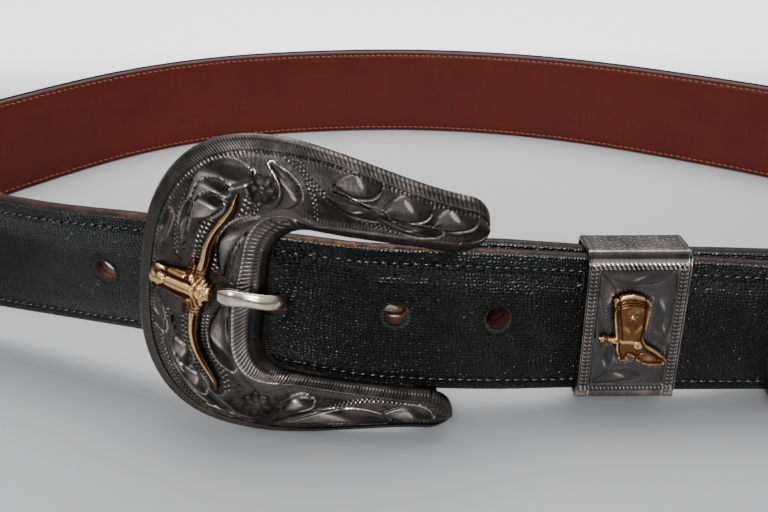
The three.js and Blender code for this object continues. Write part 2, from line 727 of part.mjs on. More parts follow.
// Cowboy boot with its spur, in relief on the keeper's face
function cowboyBoot() {
  const outline = new THREE.Shape(bootOutline.map(({ x, z }) => new THREE.Vector2(x, z)));
  const relief = { depth: bootThick - bootBevel, bevelThickness: bootBevel, bevelSize: bootBevel,
    bevelOffset: -bootBevel, bevelSegments: 2, steps: 1 };
  const boot = new THREE.ExtrudeGeometry(outline, relief);
  const teeth = Array.from({ length: 2 * rowelPoints }, (_, k) => {
    const reach = rowelRadius * (k % 2 ? 0.5 : 1);
    const turn = Math.PI * k / rowelPoints;
    return new THREE.Vector2(rowelAt.x + reach * Math.cos(turn), rowelAt.z + reach * Math.sin(turn));
  });
  const rowel = new THREE.ExtrudeGeometry(new THREE.Shape(teeth), { depth: bootThick, bevelEnabled: false });
  const upright = new THREE.Matrix4().makeRotationX(Math.PI / 2);
  boot.translate(0, 0, bootBevel);
  const whole = joined([boot, rowel]);
  whole.applyMatrix4(upright);
  whole.translate(0, -keeperFront + fieldDepth / 2 - fitGap, 0);
  return whole.applyMatrix4(keeperMatrix);
}

// Metal tip: a flat pocket that swallows the end of the strap
function beltTip() {
  const mouth = frameAt(way.length - tipPocket);
  const outer = tipRings(mouth, tipWall + tipGap, 0, tipLong);
  const inner = tipRings(mouth, tipGap, -2, tipLong - tipWall);
  return cutBy(loft(outer), [loft(inner)]);
}

function tipRings(mouth, over, from, to) {
  const half = strapWidth / 2 + over;
  const depth = strapHalf + over;
  const rounding = half * 0.85;
  return tipShares.map((share) => {
    const along = from + (to - from) * share;
    const left = Math.max(to - along, 0);
    const rounded = Math.max(rounding - left, 0) / rounding;
    const shrink = Math.sqrt(Math.max(1 - rounded ** tipPower, tipBlunt));
    const high = half * shrink;
    const thick = depth * (0.72 + 0.28 * shrink);
    const corner = Math.min(1.2, high * 0.5);
    return roundedRect(-thick, thick, -high, high, corner, 2).map((spot) => (
      inFrame(mouth, along, spot.x, strapWidth / 2 + spot.y)));
  });
}

// Finishes
function finish(color, roughness, metalness) {
  return new THREE.MeshStandardMaterial({ color, roughness, metalness });
}

const lizardLeather = () => finish('#1b1a19', 0.42, 0);
const russetLeather = () => finish('#6b2a1d', 0.5, 0);
const oxidisedSilver = () => finish('#55504b', 0.38, 0.9);
const polishedSilver = () => finish('#c9c4b6', 0.22, 1);
const agedGold = () => finish('#b27a3c', 0.32, 1);

function piece(name, geometry, material) {
  const mesh = new THREE.Mesh(geometry, material);
  mesh.name = name;
  return mesh;
}

const belt = new THREE.Group();
belt.add(
  piece('lizard_strap', lizardStrap(), lizardLeather()),
  piece('strap_lining', strapLining(), russetLeather()),
  piece('buckle_frame', buckleFrame(), oxidisedSilver()),
  piece('longhorn_head', longhornHead(), agedGold()),
  piece('prong', prong(), polishedSilver()),
  piece('keeper_band', keeperBand(), oxidisedSilver()),
  piece('cowboy_boot', cowboyBoot(), agedGold()),
  piece('belt_tip', beltTip(), oxidisedSilver()),
);

belt.position.set(-loopMiddle.x, -loopMiddle.y, 0);

export default belt;
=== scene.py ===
# A western lizard leather belt with an engraved buckle, buckled and standing on its edge.
import math

import bpy
import numpy as np
from bpy.props import FloatProperty, FloatVectorProperty, IntProperty, PointerProperty
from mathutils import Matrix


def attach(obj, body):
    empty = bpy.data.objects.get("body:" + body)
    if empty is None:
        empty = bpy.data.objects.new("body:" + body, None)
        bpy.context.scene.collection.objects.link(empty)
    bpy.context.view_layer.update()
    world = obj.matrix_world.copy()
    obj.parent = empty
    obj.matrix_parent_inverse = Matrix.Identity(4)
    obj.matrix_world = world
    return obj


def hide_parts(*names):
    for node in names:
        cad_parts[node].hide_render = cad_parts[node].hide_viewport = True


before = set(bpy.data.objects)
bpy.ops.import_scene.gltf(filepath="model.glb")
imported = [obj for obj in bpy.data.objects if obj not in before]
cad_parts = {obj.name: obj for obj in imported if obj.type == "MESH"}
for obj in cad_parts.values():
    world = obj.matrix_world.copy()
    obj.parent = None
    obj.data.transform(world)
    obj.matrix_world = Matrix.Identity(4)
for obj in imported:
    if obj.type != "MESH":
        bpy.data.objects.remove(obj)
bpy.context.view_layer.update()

bl_info = {
    "name": "Lizard Leather Belt",
    "version": (1, 0, 0),
    "blender": (4, 5, 0),
    "location": "View3D > Sidebar > Belt",
    "description": "Builds a lizard leather belt with an engraved silver buckle, keeper and tip",
    "category": "Add Mesh",
}

# Lengths in the tables are millimetres, and meshes are metres
MM = 0.001
TO_MODEL = np.array((0.27, -0.36, 0.0))

STRAP_WIDTH = 38.0
LEATHER_WALL = 1.9
UPPER_SEAM_DROP = 1.2
LAYER_GAP = 0.3
STRAP_HALF = LEATHER_WALL + LAYER_GAP / 2
SKIVED_RETURN = 30.0
RETURN_CLEARANCE = 0.4
HOLE_PITCH = 25.4
HOLE_COUNT = 5
WORN_HOLE = 2
LAST_HOLE_TO_END = 94.0
HOLE_RADIUS = 3.0
# The holes sit a little above the strap's middle; the worn one has been pulled down and along
HOLE_RISE = 1.3
WORN_HOLE_RISE = -0.3
WORN_HOLE_SHIFT = -2.4
WORN_RIM_SHIFT = -3.6
SEAM_FROM_EDGE = 3.0
LIZARD_GROOVE = 3.1
LINING_GROOVE = 1.7
LINING_SEAM_LOW = 1.9
LINING_SEAM_HIGH = 2.1
STITCH_START = 2.0
STITCH_END_ROOM = 19
FRONT_STITCH_SINK = 0.68
LINING_STITCH_SINK = 0.26

BUCKLE_HALF_HEIGHT = 39.5
BUCKLE_LEFT = -41.5
SHOULDER_U = -9.0
UPPER_POWER = 2.4
LOWER_POWER = 2.65
NOSE_RADIUS = 6.3
NOSE_U = 35.4
NOSE_V = 25.7
OPENING_HALF = 19.0
OPENING_LEFT = -8.5
OPENING_CORNER = 9.0
SHELL_WALL = 2.2
ROPE_BORDER = 3.8
CROWN_RISE = 1.6
WAIST_CURVE = 560.0
EDGE_DROP = 1.2
OUTER_FALL = 3.6
FIELD_SWELL = 0.7
ROPE_SWELL = 0.6
# Rows round a nose, along an arm and round half of the bow
SHELL_ROWS = (26, 150, 200)
OUTER_ROPE_ROWS = (50, 240, 410)
INNER_ROPE_ROWS = (50, 180, 165)

BAR_U = 34.0
BAR_P = -14.5
BAR_RADIUS = 1.8
BAR_HEADING = 5.0
LUG_INNER = 20.9
LUG_THICK = 3.2
LUG_LONG = 6.0
LUG_ROOT = -1.2
LUG_OVER = 1.2
FIT_GAP = 0.3
FOLD_MID = BAR_RADIUS + FIT_GAP + LEATHER_WALL / 2
STRAP_BELOW_BAR = 1.3
FOLD_LEAD_IN = 9.0
TONGUE_INSET = 7.0
LINING_START = 8.0
LINING_INSET = 0.3
# Length of the turn round the bar in the strap's own layout
FOLD_LAYOUT = 12

BUCKLE_AT = np.array((-36.2, -105.4, 38.4))
BUCKLE_YAW, BUCKLE_LEAN, BUCKLE_ROLL = -3.4, 6.9, 8.0

EYE_RADIUS = 3.4
EYE_V = -2.4
PRONG_WIDE = 3.9
PRONG_THICK = 2.5

KEEPER_LONG = 25.6
KEEPER_WALL = 1.1
KEEPER_AT = 46.4
KEEPER_ROLL = 1.9
KEEPER_FRONT = 3.9
KEEPER_BACK = 9.5
KEEPER_HALF = 21.2
KEEPER_CORNER = 2.6
KEEPER_CHAMFER = 0.12
# Width of the finer mesh along both sides of the keeper
KEEPER_SIDE = 3.6

TIP_LONG = 38.0
TIP_POCKET = 17.0
TIP_WALL = 1.1
TIP_GAP = 0.6
TIP_POWER = 2.4
TIP_BLUNT = 0.012

LONGHORN_U, LONGHORN_V, LONGHORN_TURN = -22.6, 0.0, -2.0

# The boot leans on the keeper: shift to the right and up, and what each millimetre of height adds
BOOT_RIGHT, BOOT_UP = -0.43, 0.45
BOOT_SLANT, BOOT_SQUEEZE, BOOT_TALL = -0.108, -0.055, 0.945

PICTURE_WIDTH = 768
FLOOR_PAINTED_LIGHT_FAR = (0.95, 0.95, 0.95, 1)
SKY_LOW = (0.16, 0.165, 0.18, 1)
SKY_HIGH = (0.93, 0.95, 1.0, 1)

BUCKLE_SEED, KEEPER_SEED, TIP_SEED, STITCH_SEED = 3, 5, 9, 11
LINE_PITCH = 0.5

# Way of the strap: x, y, lift of the lower edge, outward tip in degrees, share of the bar's tilt
STRAP_WAY = (
    (8, -95.9, 11.2, -6, 0.5),
    (20, -94.9, 9.8, -6, 0.15),
    (34, -93.1, 8, -4.9, 0),
    (59, -91.9, 7, -4.4, 0),
    (84, -88.9, 5.5, -1.5, 0),
    (109, -84.8, 3.8, 0, 0),
    (134, -78.5, 2.4, 0, 0),
    (166, -60.3, 1, 0, 0),
    (184, -29.2, 0.2, 0, 0),
    (185.5, 3, 0, 0, 0),
    (172, 32, 0, 0, 0),
    (152, 50, 0, 0, 0),
    (114, 73.1, 0, 0, 0),
    (74, 92.8, 0, 0, 0),
    (34, 105.1, 0, 0, 0),
    (-6, 110, 0, 0, 0),
    (-46, 108.1, 0, 0, 0),
    (-86, 99.7, 0, 0, 0),
    (-126, 79.1, 0, 0, 0),
    (-156, 51.6, 0, 0, 0),
    (-179, 22, 0.8, 0, 0),
    (-187, -6, 3.5, 0, 0),
    (-179, -32, 7.5, 0.5, 0),
    (-161, -50, 10.8, 3, 0),
    (-128, -64.8, 13.2, 6, 0),
    (-96, -76.3, 15, 8.9, 0),
    (-66, -88.5, 16.5, 5.5, 0),
    (-46, -97.9, 16.4, 0.7, 0),
    (-36, -100.7, 16, -1.5, 0),
    (-26, -102.2, 14.7, -3.3, 0),
    (-16, -102.7, 13.7, -4.6, 0),
    (-4, -102.3, 12.4, -5.9, 0),
    (14, -100.2, 10.2, -6, 0),
    (34, -97.9, 8.3, -4.9, 0),
    (59, -97.4, 7.3, -4.4, 0),
    (84, -96.3, 6, -1.5, 0),
    (104, -95.4, 4.9, -1.1, 0),
)

# Middle line of the prong: u, v, p, share of its width, share of its thickness
PRONG_WAY = (
    (-19.4, 0.25, 3.2, 0.8, 0.7),
    (-18.4, 0.3, 3.45, 1, 1),
    (-13.5, 0.4, 3.75, 1, 1),
    (-8.4, 0.5, 3.65, 1, 1),
    (-6.3, 0.4, 2.9, 1, 1),
    (-5.0, 0, 1.2, 1, 1),
    (-4.5, -1.0, -1.2, 0.96, 0.96),
    (-4.6, -2.1, -3.3, 0.92, 0.92),
    (-4.7, -2.8, -5.2, 0.92, 0.92),
    (-4.0, -2.8, -7.2, 0.92, 1),
    (-2.2, -2.8, -9.0, 1, 1),
    (1, -2.8, -9.6, 1, 1),
    (5, -2.8, -9.7, 1, 1),
    (17, -2.6, -9.8, 1, 1),
    (25, -2.4, -11, 1, 1),
    (32, -2.4, -13.7, 1, 0.9),
)

# Horn from its root to its tip: along the head, out from its middle, radius
HORN_WAY = (
    (-1.9, 1.5, 1.5), (-2.2, 4.4, 1.65), (-2.4, 7.3, 1.6), (-2.3, 11.5, 1.4), (-1.3, 15, 1.2),
    (0.6, 18.5, 1.05), (2.6, 21.3, 0.9), (3.8, 23.5, 0.75), (4.3, 26, 0.45),
)

# Room that the front stretch of leather takes beyond its plain width: row of the way,
# growth of the lower edge, growth of the upper edge
LEATHER_GROWTH = (
    (0, 0, 0), (21, 0, 0), (23, 0.9, 1.2), (25, 1.0, 0.9), (27, 0.5, 0.3), (29, 1.2, 0), (31, 1.5, 0),
    (33, 1.2, 0), (34, 0.6, 0), (35, 0.6, 0), (36, 0, 0), (37, 0, 0),
)

# Engraved leaves of the buckle: u and v of the root, u and v of the tip, half width,
# bend of the middle line to the left, place of the widest stretch, rise, polish
BUCKLE_LEAVES = (
    (-29.8, 17.2, -14.6, 31.0, 3.3, 3.9, 0.62, 0.55, 1.0),
    (-28.4, 20.2, -19.8, 26.6, 2.2, 1.7, 0.62, 0.6, 1.0),
    (-28.2, 17.2, -21.2, 23.6, 2.5, 0.5, 0.55, 0.65, 1.0),
    (-29.6, 8.6, -28.6, 21.5, 0.8, 1.0, 0.6, 0.35, 0.5),
    (-10.6, 21.2, -10.4, 33.8, 2.1, -5.6, 0.5, 0.5, 0.7),
    (-19.2, 4.6, -12.0, 20.4, 1.9, 3.3, 0.5, 0.5, 0.7),
    (-36.6, 6.2, -33.8, 17.4, 1.5, 0.8, 0.5, 0.35, 0.35),
    (4.6, 31.6, 15.2, 32.3, 2.7, 0.2, 0.55, 0.6, 0.6),
    (16.4, 26.8, 27.4, 29.4, 3.1, 0.4, 0.55, 0.6, 0.65),
    (27.8, 24.8, 38.2, 28.6, 2.8, 0.7, 0.6, 0.6, 0.7),
    (3.2, 28.6, 17.5, 25.8, 1.3, -0.8, 0.5, 0.35, 0.5),
    (15.5, 25.2, 30.5, 23.6, 1.1, -0.9, 0.5, 0.35, 0.5),
    (-31.8, -9.2, -14.2, -34.2, 1.7, -4.6, 0.45, 0.5, 0.55),
    (-30.4, -15.6, -26.2, -22.4, 1.9, 0.3, 0.5, 0.5, 0.65),
    (-27.2, -23.2, -21.6, -29.4, 1.9, 0.3, 0.55, 0.5, 0.65),
    (-36.4, -3.4, -33.4, -14.6, 1.5, -1.1, 0.5, 0.35, 0.35),
    (-18.6, -3.4, -14.6, -20.8, 2.0, -2.7, 0.5, 0.5, 0.6),
    (-3.2, -35.4, 25.9, -29.0, 2.5, 2.2, 0.62, 0.5, 0.75),
    (24.2, -26.4, 36.6, -26.2, 2.3, 0.2, 0.5, 0.5, 0.7),
    (-0.6, -29.6, 6.2, -25.4, 1.8, 0.5, 0.5, 0.45, 0.6),
    (7.6, -35.8, 20.6, -33.6, 1.0, -0.4, 0.5, 0.3, 0.4),
    (-21.6, -33.4, -8.4, -37.0, 1.3, -0.5, 0.5, 0.3, 0.4),
)

# Rows of beads cut into the buckle's field, each by the u and v of a few points
BEAD_ROWS = (
    ((-31.4, 7.9), (-31.6, 15.9), (-30.4, 21.6), (-26.9, 29.4), (-21.6, 34.8), (-15.4, 37.2),
     (-9, 36.4), (-3.1, 33.2), (2.7, 28.6), (8.5, 25.4), (15.7, 23.2), (22, 22.3)),
    ((-3.6, 34.8), (-1.2, 30.6), (0.8, 26), (1.4, 22.6)),
    ((6, -30.3), (11.8, -26.2), (18, -23.8), (25, -22.9), (33, -22.8)),
    ((-32.4, -8.5), (-33.9, -16), (-31.4, -24.4), (-25.6, -31.2), (-18.6, -35.4), (-9, -37.6)),
    ((-15.2, 20.6), (-12.8, 22.4), (-12.6, 25.4), (-12.3, 29.8)),
)

# Fine cut lines of the buckle's field
CUT_LINES = (
    ((-17.0, 3.0), (-16.9, 8), (-15.6, 14), (-12.6, 19)),
    ((-16.9, -3.8), (-17.1, -8.4), (-16, -14.6), (-13.0, -20.6)),
    ((0.9, -33.2), (9.6, -28), (18.6, -25.6), (24.6, -26.4)),
    ((4.4, 29.8), (12, 27.7), (20, 24.4), (30, 22.4)),
    ((-32.8, -10.6), (-33.4, -16), (-30.8, -23.4), (-24.6, -30)),
)

# Flowers of the buckle: u and v of the middle, radius, petals
BUCKLE_FLOWERS = (
    (-11.9, 27.4, 3.2, 6),
    (-7.6, -29.8, 3.9, 7),
)

# Outline of the boot on the keeper: x and z
BOOT_OUTLINE = (
    (-4.5, 8.7), (-2.4, 9.9), (0.2, 10.3), (2.8, 9.7), (4.8, 8.4), (4.2, 4.6), (3.4, 0.8), (2.7, -2.9),
    (3.6, -4.6), (5.6, -6.4), (8, -8.2), (8.6, -9.6), (7.8, -10.7), (4, -10.7), (1.6, -9.7), (-0.4, -7.6),
    (-1, -7.6), (-1.6, -9.3), (-3.6, -9.3), (-4.3, -5.9), (-4.2, -3.9), (-5.4, -3.7), (-5.4, -2.5),
    (-4.3, -2.3), (-4.6, 3.3),
)

# Leaves of the keeper's field: x and z of the root and of the tip, half width, bend,
# widest place, rise, polish
KEEPER_LEAVES = (
    (-9.0, 15.2, -5.6, 2.4, 1.7, 0.6, 0.45, 0.22, 0.5),
    (9.0, 15.2, 6.4, -0.6, 2.1, -0.5, 0.5, 0.22, 0.5),
    (-8.4, 15.8, 8.0, 15.6, 1.5, -1.3, 0.5, 0.2, 0.55),
    (-8.8, -15.6, -5.4, -4.6, 1.7, -0.5, 0.45, 0.22, 0.5),
    (-8.2, -15.8, 3.6, -13.6, 1.5, 0.9, 0.5, 0.2, 0.55),
    (9.0, -15.6, 7.0, -4.0, 1.2, 0.4, 0.5, 0.2, 0.5),
    (9.2, 5.8, 7.9, -5.0, 0.9, -0.4, 0.5, 0.2, 0.5),
    (-9.2, 3.0, -7.7, -6.0, 0.8, 0.4, 0.5, 0.2, 0.5),
)

# Leaves of the end tip: along and height of the root and of the tip, and as above
TIP_LEAVES = (
    (4.6, -12.6, 13.4, -3.4, 2.4, 1.8, 0.5, 0.45, 0.9),
    (4.6, 12.6, 13.4, 3.4, 2.4, -1.8, 0.5, 0.45, 0.9),
    (5.4, -4.8, 12.2, 0.2, 1.7, 0.9, 0.5, 0.4, 0.8),
    (5.4, 4.8, 12.2, -0.2, 1.7, -0.9, 0.5, 0.4, 0.8),
    (12.4, -10.6, 24.2, -4.6, 2.2, -1.3, 0.5, 0.45, 0.9),
    (12.4, 10.6, 24.2, 4.6, 2.2, 1.3, 0.5, 0.45, 0.9),
    (14.2, 0.0, 26.6, 0.0, 2.3, 0.0, 0.5, 0.5, 1.0),
    (23.2, -8.4, 31.8, -1.6, 1.8, -1.0, 0.5, 0.4, 0.8),
    (23.2, 8.4, 31.8, 1.6, 1.8, 1.0, 0.5, 0.4, 0.8),
)


def unit(vectors):
    return vectors / np.linalg.norm(vectors, axis=-1, keepdims=True)


def lerp(a, b, share):
    return a + (b - a) * share


def smooth_step(low, high, value):
    share = np.clip((value - low) / (high - low), 0, 1)
    return share * share * (3 - 2 * share)


def bell(value, width):
    return np.exp(-(value / width) ** 2)


class Spline:
    """Natural cubic curve through the rows of a table, over the distance of its first columns."""

    def __init__(self, rows, measured=2):
        self.values = np.array(rows, dtype=float)
        steps = np.linalg.norm(np.diff(self.values[:, :measured], axis=0), axis=1)
        self.knots = np.concatenate(([0.0], np.cumsum(steps)))
        self.length = self.knots[-1]
        self.bends = self._natural_bends()

    def _natural_bends(self):
        knots, values = self.knots, self.values
        count = len(knots)
        m, c, d = np.zeros_like(values), np.zeros(count), np.zeros_like(values)
        for i in range(1, count - 1):
            before, after = knots[i] - knots[i - 1], knots[i + 1] - knots[i]
            slope = (values[i + 1] - values[i]) / after - (values[i] - values[i - 1]) / before
            pivot = 2 * (before + after) - before * c[i - 1]
            c[i] = after / pivot
            d[i] = (6 * slope - before * d[i - 1]) / pivot
        for i in range(count - 2, 0, -1):
            m[i] = d[i] - c[i] * m[i + 1]
        return m

    def at(self, distance):
        s = np.atleast_1d(np.asarray(distance, dtype=float))
        i = np.clip(np.searchsorted(self.knots, s) - 1, 0, len(self.knots) - 2)
        h = self.knots[i + 1] - self.knots[i]
        a = ((self.knots[i + 1] - s) / h)[:, None]
        b = ((s - self.knots[i]) / h)[:, None]
        curve = (a ** 3 - a) * self.bends[i] + (b ** 3 - b) * self.bends[i + 1]
        return a * self.values[i] + b * self.values[i + 1] + curve * (h * h / 6)[:, None]


def turned(axis, degrees):
    c, s = math.cos(math.radians(degrees)), math.sin(math.radians(degrees))
    return {
        "X": np.array(((1, 0, 0), (0, c, -s), (0, s, c))),
        "Y": np.array(((c, 0, s), (0, 1, 0), (-s, 0, c))),
        "Z": np.array(((c, -s, 0), (s, c, 0), (0, 0, 1))),
    }[axis]


BUCKLE_AXES = turned("Z", BUCKLE_YAW) @ turned("X", -BUCKLE_LEAN) @ turned("Y", BUCKLE_ROLL)


def in_belt(u, v, p):
    """Places in the belt of places in the buckle: u to the right, v up, p forward."""
    local = np.stack(np.broadcast_arrays(u, -np.asarray(p, dtype=float), v), axis=-1)
    return local @ BUCKLE_AXES.T + BUCKLE_AT


BAR_CENTRE = in_belt(BAR_U, 0.0, BAR_P)
BAR_UP = unit(in_belt(BAR_U, 1.0, BAR_P) - BAR_CENTRE)
BAR_ALONG = np.array((math.cos(math.radians(BAR_HEADING)), math.sin(math.radians(BAR_HEADING)), 0))
BAR_ALONG = unit(BAR_ALONG - BAR_UP * (BAR_ALONG @ BAR_UP))
BAR_OUT = np.cross(BAR_ALONG, BAR_UP)
BAR_ROW = BAR_CENTRE + BAR_OUT * (FOLD_MID - LAYER_GAP / 2 - LEATHER_WALL / 2)
BAR_ROW = BAR_ROW - BAR_UP * (STRAP_WIDTH / 2 + STRAP_BELOW_BAR)
WAY = Spline((tuple(BAR_ROW) + (-6, 1),) + STRAP_WAY)
HOLES = WAY.length - LAST_HOLE_TO_END - HOLE_PITCH * np.arange(HOLE_COUNT - 1, -1, -1)


def grown(height, distance):
    """Height on the strap with the growth of its edges at each distance."""
    knots = [WAY.knots[row] for row, _, _ in LEATHER_GROWTH]
    below = np.interp(distance, knots, [row[1] for row in LEATHER_GROWTH])
    above = np.interp(distance, knots, [row[2] for row in LEATHER_GROWTH])
    return height * (STRAP_WIDTH + below + above) / STRAP_WIDTH - below


class Frames:
    """Section frames of the strap: an origin at the lower edge, and three directions."""

    def __init__(self, origin, along, top, out):
        self.origin, self.along, self.top, self.out = origin, along, top, out

    def place(self, along, out, height):
        """Points for arrays that broadcast against the frames' first axis."""
        pad = (slice(None),) + (None,) * (max(np.ndim(along), np.ndim(out), np.ndim(height)) - 1)
        points = self.origin[pad]
        for amount, axis in ((along, self.along), (out, self.out), (height, self.top)):
            points = points + np.asarray(amount, dtype=float)[..., None] * axis[pad]
        return points


def strap_frames(distance):
    s = np.clip(np.atleast_1d(distance), 0, WAY.length)
    here = WAY.at(s)
    ahead = WAY.at(np.minimum(s + 0.5, WAY.length)) - WAY.at(np.maximum(s - 0.5, 0))
    along = unit(ahead[:, :3])
    tip = np.radians(here[:, 3:4])
    up = np.broadcast_to(np.array((0.0, 0.0, 1.0)), along.shape)
    rise = along[:, 2:3]
    top = up * np.cos(tip) + np.cross(along, up) * np.sin(tip) + along * rise * (1 - np.cos(tip))
    top = unit(top - along * (top * along).sum(axis=1, keepdims=True))
    top = unit(lerp(top, BAR_UP, np.clip(here[:, 4:5], 0, 1)))
    out = unit(np.cross(along, top))
    origin = np.column_stack((here[:, 0], here[:, 1], np.maximum(here[:, 2], 0)))
    return Frames(origin, along, top, out)


def closing(values):
    """Adds the first entry behind the last, so that a ring closes on itself."""
    return np.concatenate((values, values[:1]))


def activate(piece):
    bpy.ops.object.select_all(action="DESELECT")
    piece.select_set(True)
    bpy.context.view_layer.objects.active = piece


def apply_modifier(piece, kind, **settings):
    activate(piece)
    modifier = piece.modifiers.new(kind.title(), kind)
    for name, value in settings.items():
        setattr(modifier, name, value)
    bpy.ops.object.modifier_apply(modifier=modifier.name)


def grid_piece(name, points, uv=None, marks=None, smooth_angle=60.0):
    """A grid primitive laid over rows and columns of points in millimetres, seams merged."""
    rows, columns = points.shape[:2]
    piece = made_by(bpy.ops.mesh.primitive_grid_add, size=1,
                    x_subdivisions=columns - 1, y_subdivisions=rows - 1)
    piece.name = name
    piece.location = (0, 0, 0)
    mesh = piece.data
    mesh.name = name
    mesh.vertices.foreach_set("co", ((points + TO_MODEL) * MM).astype(np.float32).ravel())
    if uv is not None:
        corners = np.empty(len(mesh.loops), dtype=np.int32)
        mesh.loops.foreach_get("vertex_index", corners)
        mesh.uv_layers.active.data.foreach_set("uv", uv.reshape(-1, 2)[corners].astype(np.float32).ravel())
    for mark, values in (marks or {}).items():
        attribute = mesh.attributes.new(mark, "FLOAT", "POINT")
        attribute.data.foreach_set("value", np.ascontiguousarray(values, dtype=np.float32).ravel())
    tidy_surface(piece)
    bpy.ops.object.shade_smooth_by_angle(angle=math.radians(smooth_angle))
    return piece


def tidy_surface(piece, threshold=2e-6):
    activate(piece)
    bpy.ops.object.mode_set(mode="EDIT")
    bpy.ops.mesh.select_all(action="SELECT")
    bpy.ops.mesh.remove_doubles(threshold=threshold)
    bpy.ops.mesh.normals_make_consistent(inside=False)
    bpy.ops.mesh.select_all(action="DESELECT")
    bpy.ops.object.mode_set(mode="OBJECT")


def join_pieces(pieces, name):
    activate(pieces[0])
    for piece in pieces[1:]:
        piece.select_set(True)
    bpy.ops.object.join()
    whole = bpy.context.object
    whole.name = name
    whole.data.name = name
    return whole


def cut_by(piece, cutters):
    for cutter in cutters:
        apply_modifier(piece, "BOOLEAN", object=cutter, operation="DIFFERENCE", solver="EXACT",
                       material_mode="TRANSFER")
        bpy.data.objects.remove(cutter)


def node_copy(name, node):
    """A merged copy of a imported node's mesh, to be shaped further."""
    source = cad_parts[node]
    piece = bpy.data.objects.new(name, source.data.copy())
    piece.data.name = name
    piece.data.materials.clear()
    bpy.context.scene.collection.objects.link(piece)
    tidy_surface(piece, threshold=1e-6)
    return piece


def raw_vectors(piece, kind="co"):
    flat = np.empty(len(piece.data.vertices) * 3)
    piece.data.vertices.foreach_get(kind, flat)
    return flat.reshape(-1, 3)


def made_by(add_primitive, **settings):
    """The object that one of Blender's own primitives makes."""
    bpy.ops.object.select_all(action="DESELECT")
    add_primitive(**settings)
    return bpy.context.object


def remeshed_node(name, node, voxel, repeat):
    """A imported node's mesh in even small faces, with its places and normals."""
    piece = node_copy(name, node)
    apply_modifier(piece, "REMESH", mode="VOXEL", voxel_size=voxel * MM, use_smooth_shade=True)
    activate(piece)
    bpy.ops.object.mode_set(mode="EDIT")
    bpy.ops.mesh.select_all(action="SELECT")
    bpy.ops.mesh.vertices_smooth(factor=0.5, repeat=repeat)
    bpy.ops.object.mode_set(mode="OBJECT")
    return piece, raw_vectors(piece) / MM - TO_MODEL, raw_vectors(piece, "normal")


def finish_relief(piece, shine, looks, node):
    set_mark(piece, "shine", shine)
    activate(piece)
    bpy.ops.object.shade_smooth()
    finish_piece(piece, aged_gold(looks), (node,))


def move_vertices(piece, points):
    piece.data.vertices.foreach_set("co", ((points + TO_MODEL) * MM).ravel())
    piece.data.update()


def set_mark(piece, mark, values):
    attribute = piece.data.attributes.new(mark, "FLOAT", "POINT")
    attribute.data.foreach_set("value", np.asarray(values, dtype=np.float32))


def finish_piece(piece, material, nodes=()):
    if material:
        piece.data.materials.clear()
        piece.data.materials.append(material)
    if nodes:
        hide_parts(*nodes)
    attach(piece, "root")


def walked_along(line):
    """The way walked to each point of a line."""
    return np.concatenate(([0], np.cumsum(np.linalg.norm(np.diff(line, axis=0), axis=1))))


def smooth_line(points):
    curve = Spline(points)
    return curve.at(np.linspace(0, curve.length, max(2, int(curve.length / LINE_PITCH))))


def line_distance(x, y, line):
    """Distance of each point from a line, the way walked on it, and the side it lies on."""
    best = np.full(x.shape, 1e9)
    walked, side = np.zeros(x.shape), np.zeros(x.shape)
    start = 0.0
    for (ax, ay), (bx, by) in zip(line[:-1, :2], line[1:, :2]):
        dx, dy = bx - ax, by - ay
        long = math.hypot(dx, dy)
        share = np.clip(((x - ax) * dx + (y - ay) * dy) / (long * long), 0, 1)
        offset_x, offset_y = x - ax - share * dx, y - ay - share * dy
        far = np.hypot(offset_x, offset_y)
        nearer = far < best
        best = np.where(nearer, far, best)
        walked = np.where(nearer, start + share * long, walked)
        side = np.where(nearer, np.sign(dx * offset_y - dy * offset_x), side)
        start += long
    return best, walked, side


def pearls(way, pitch, phase=0):
    """A round swell once in every pitch of the way."""
    return np.clip(np.cos(2 * math.pi * way / pitch + phase), 0, 1)


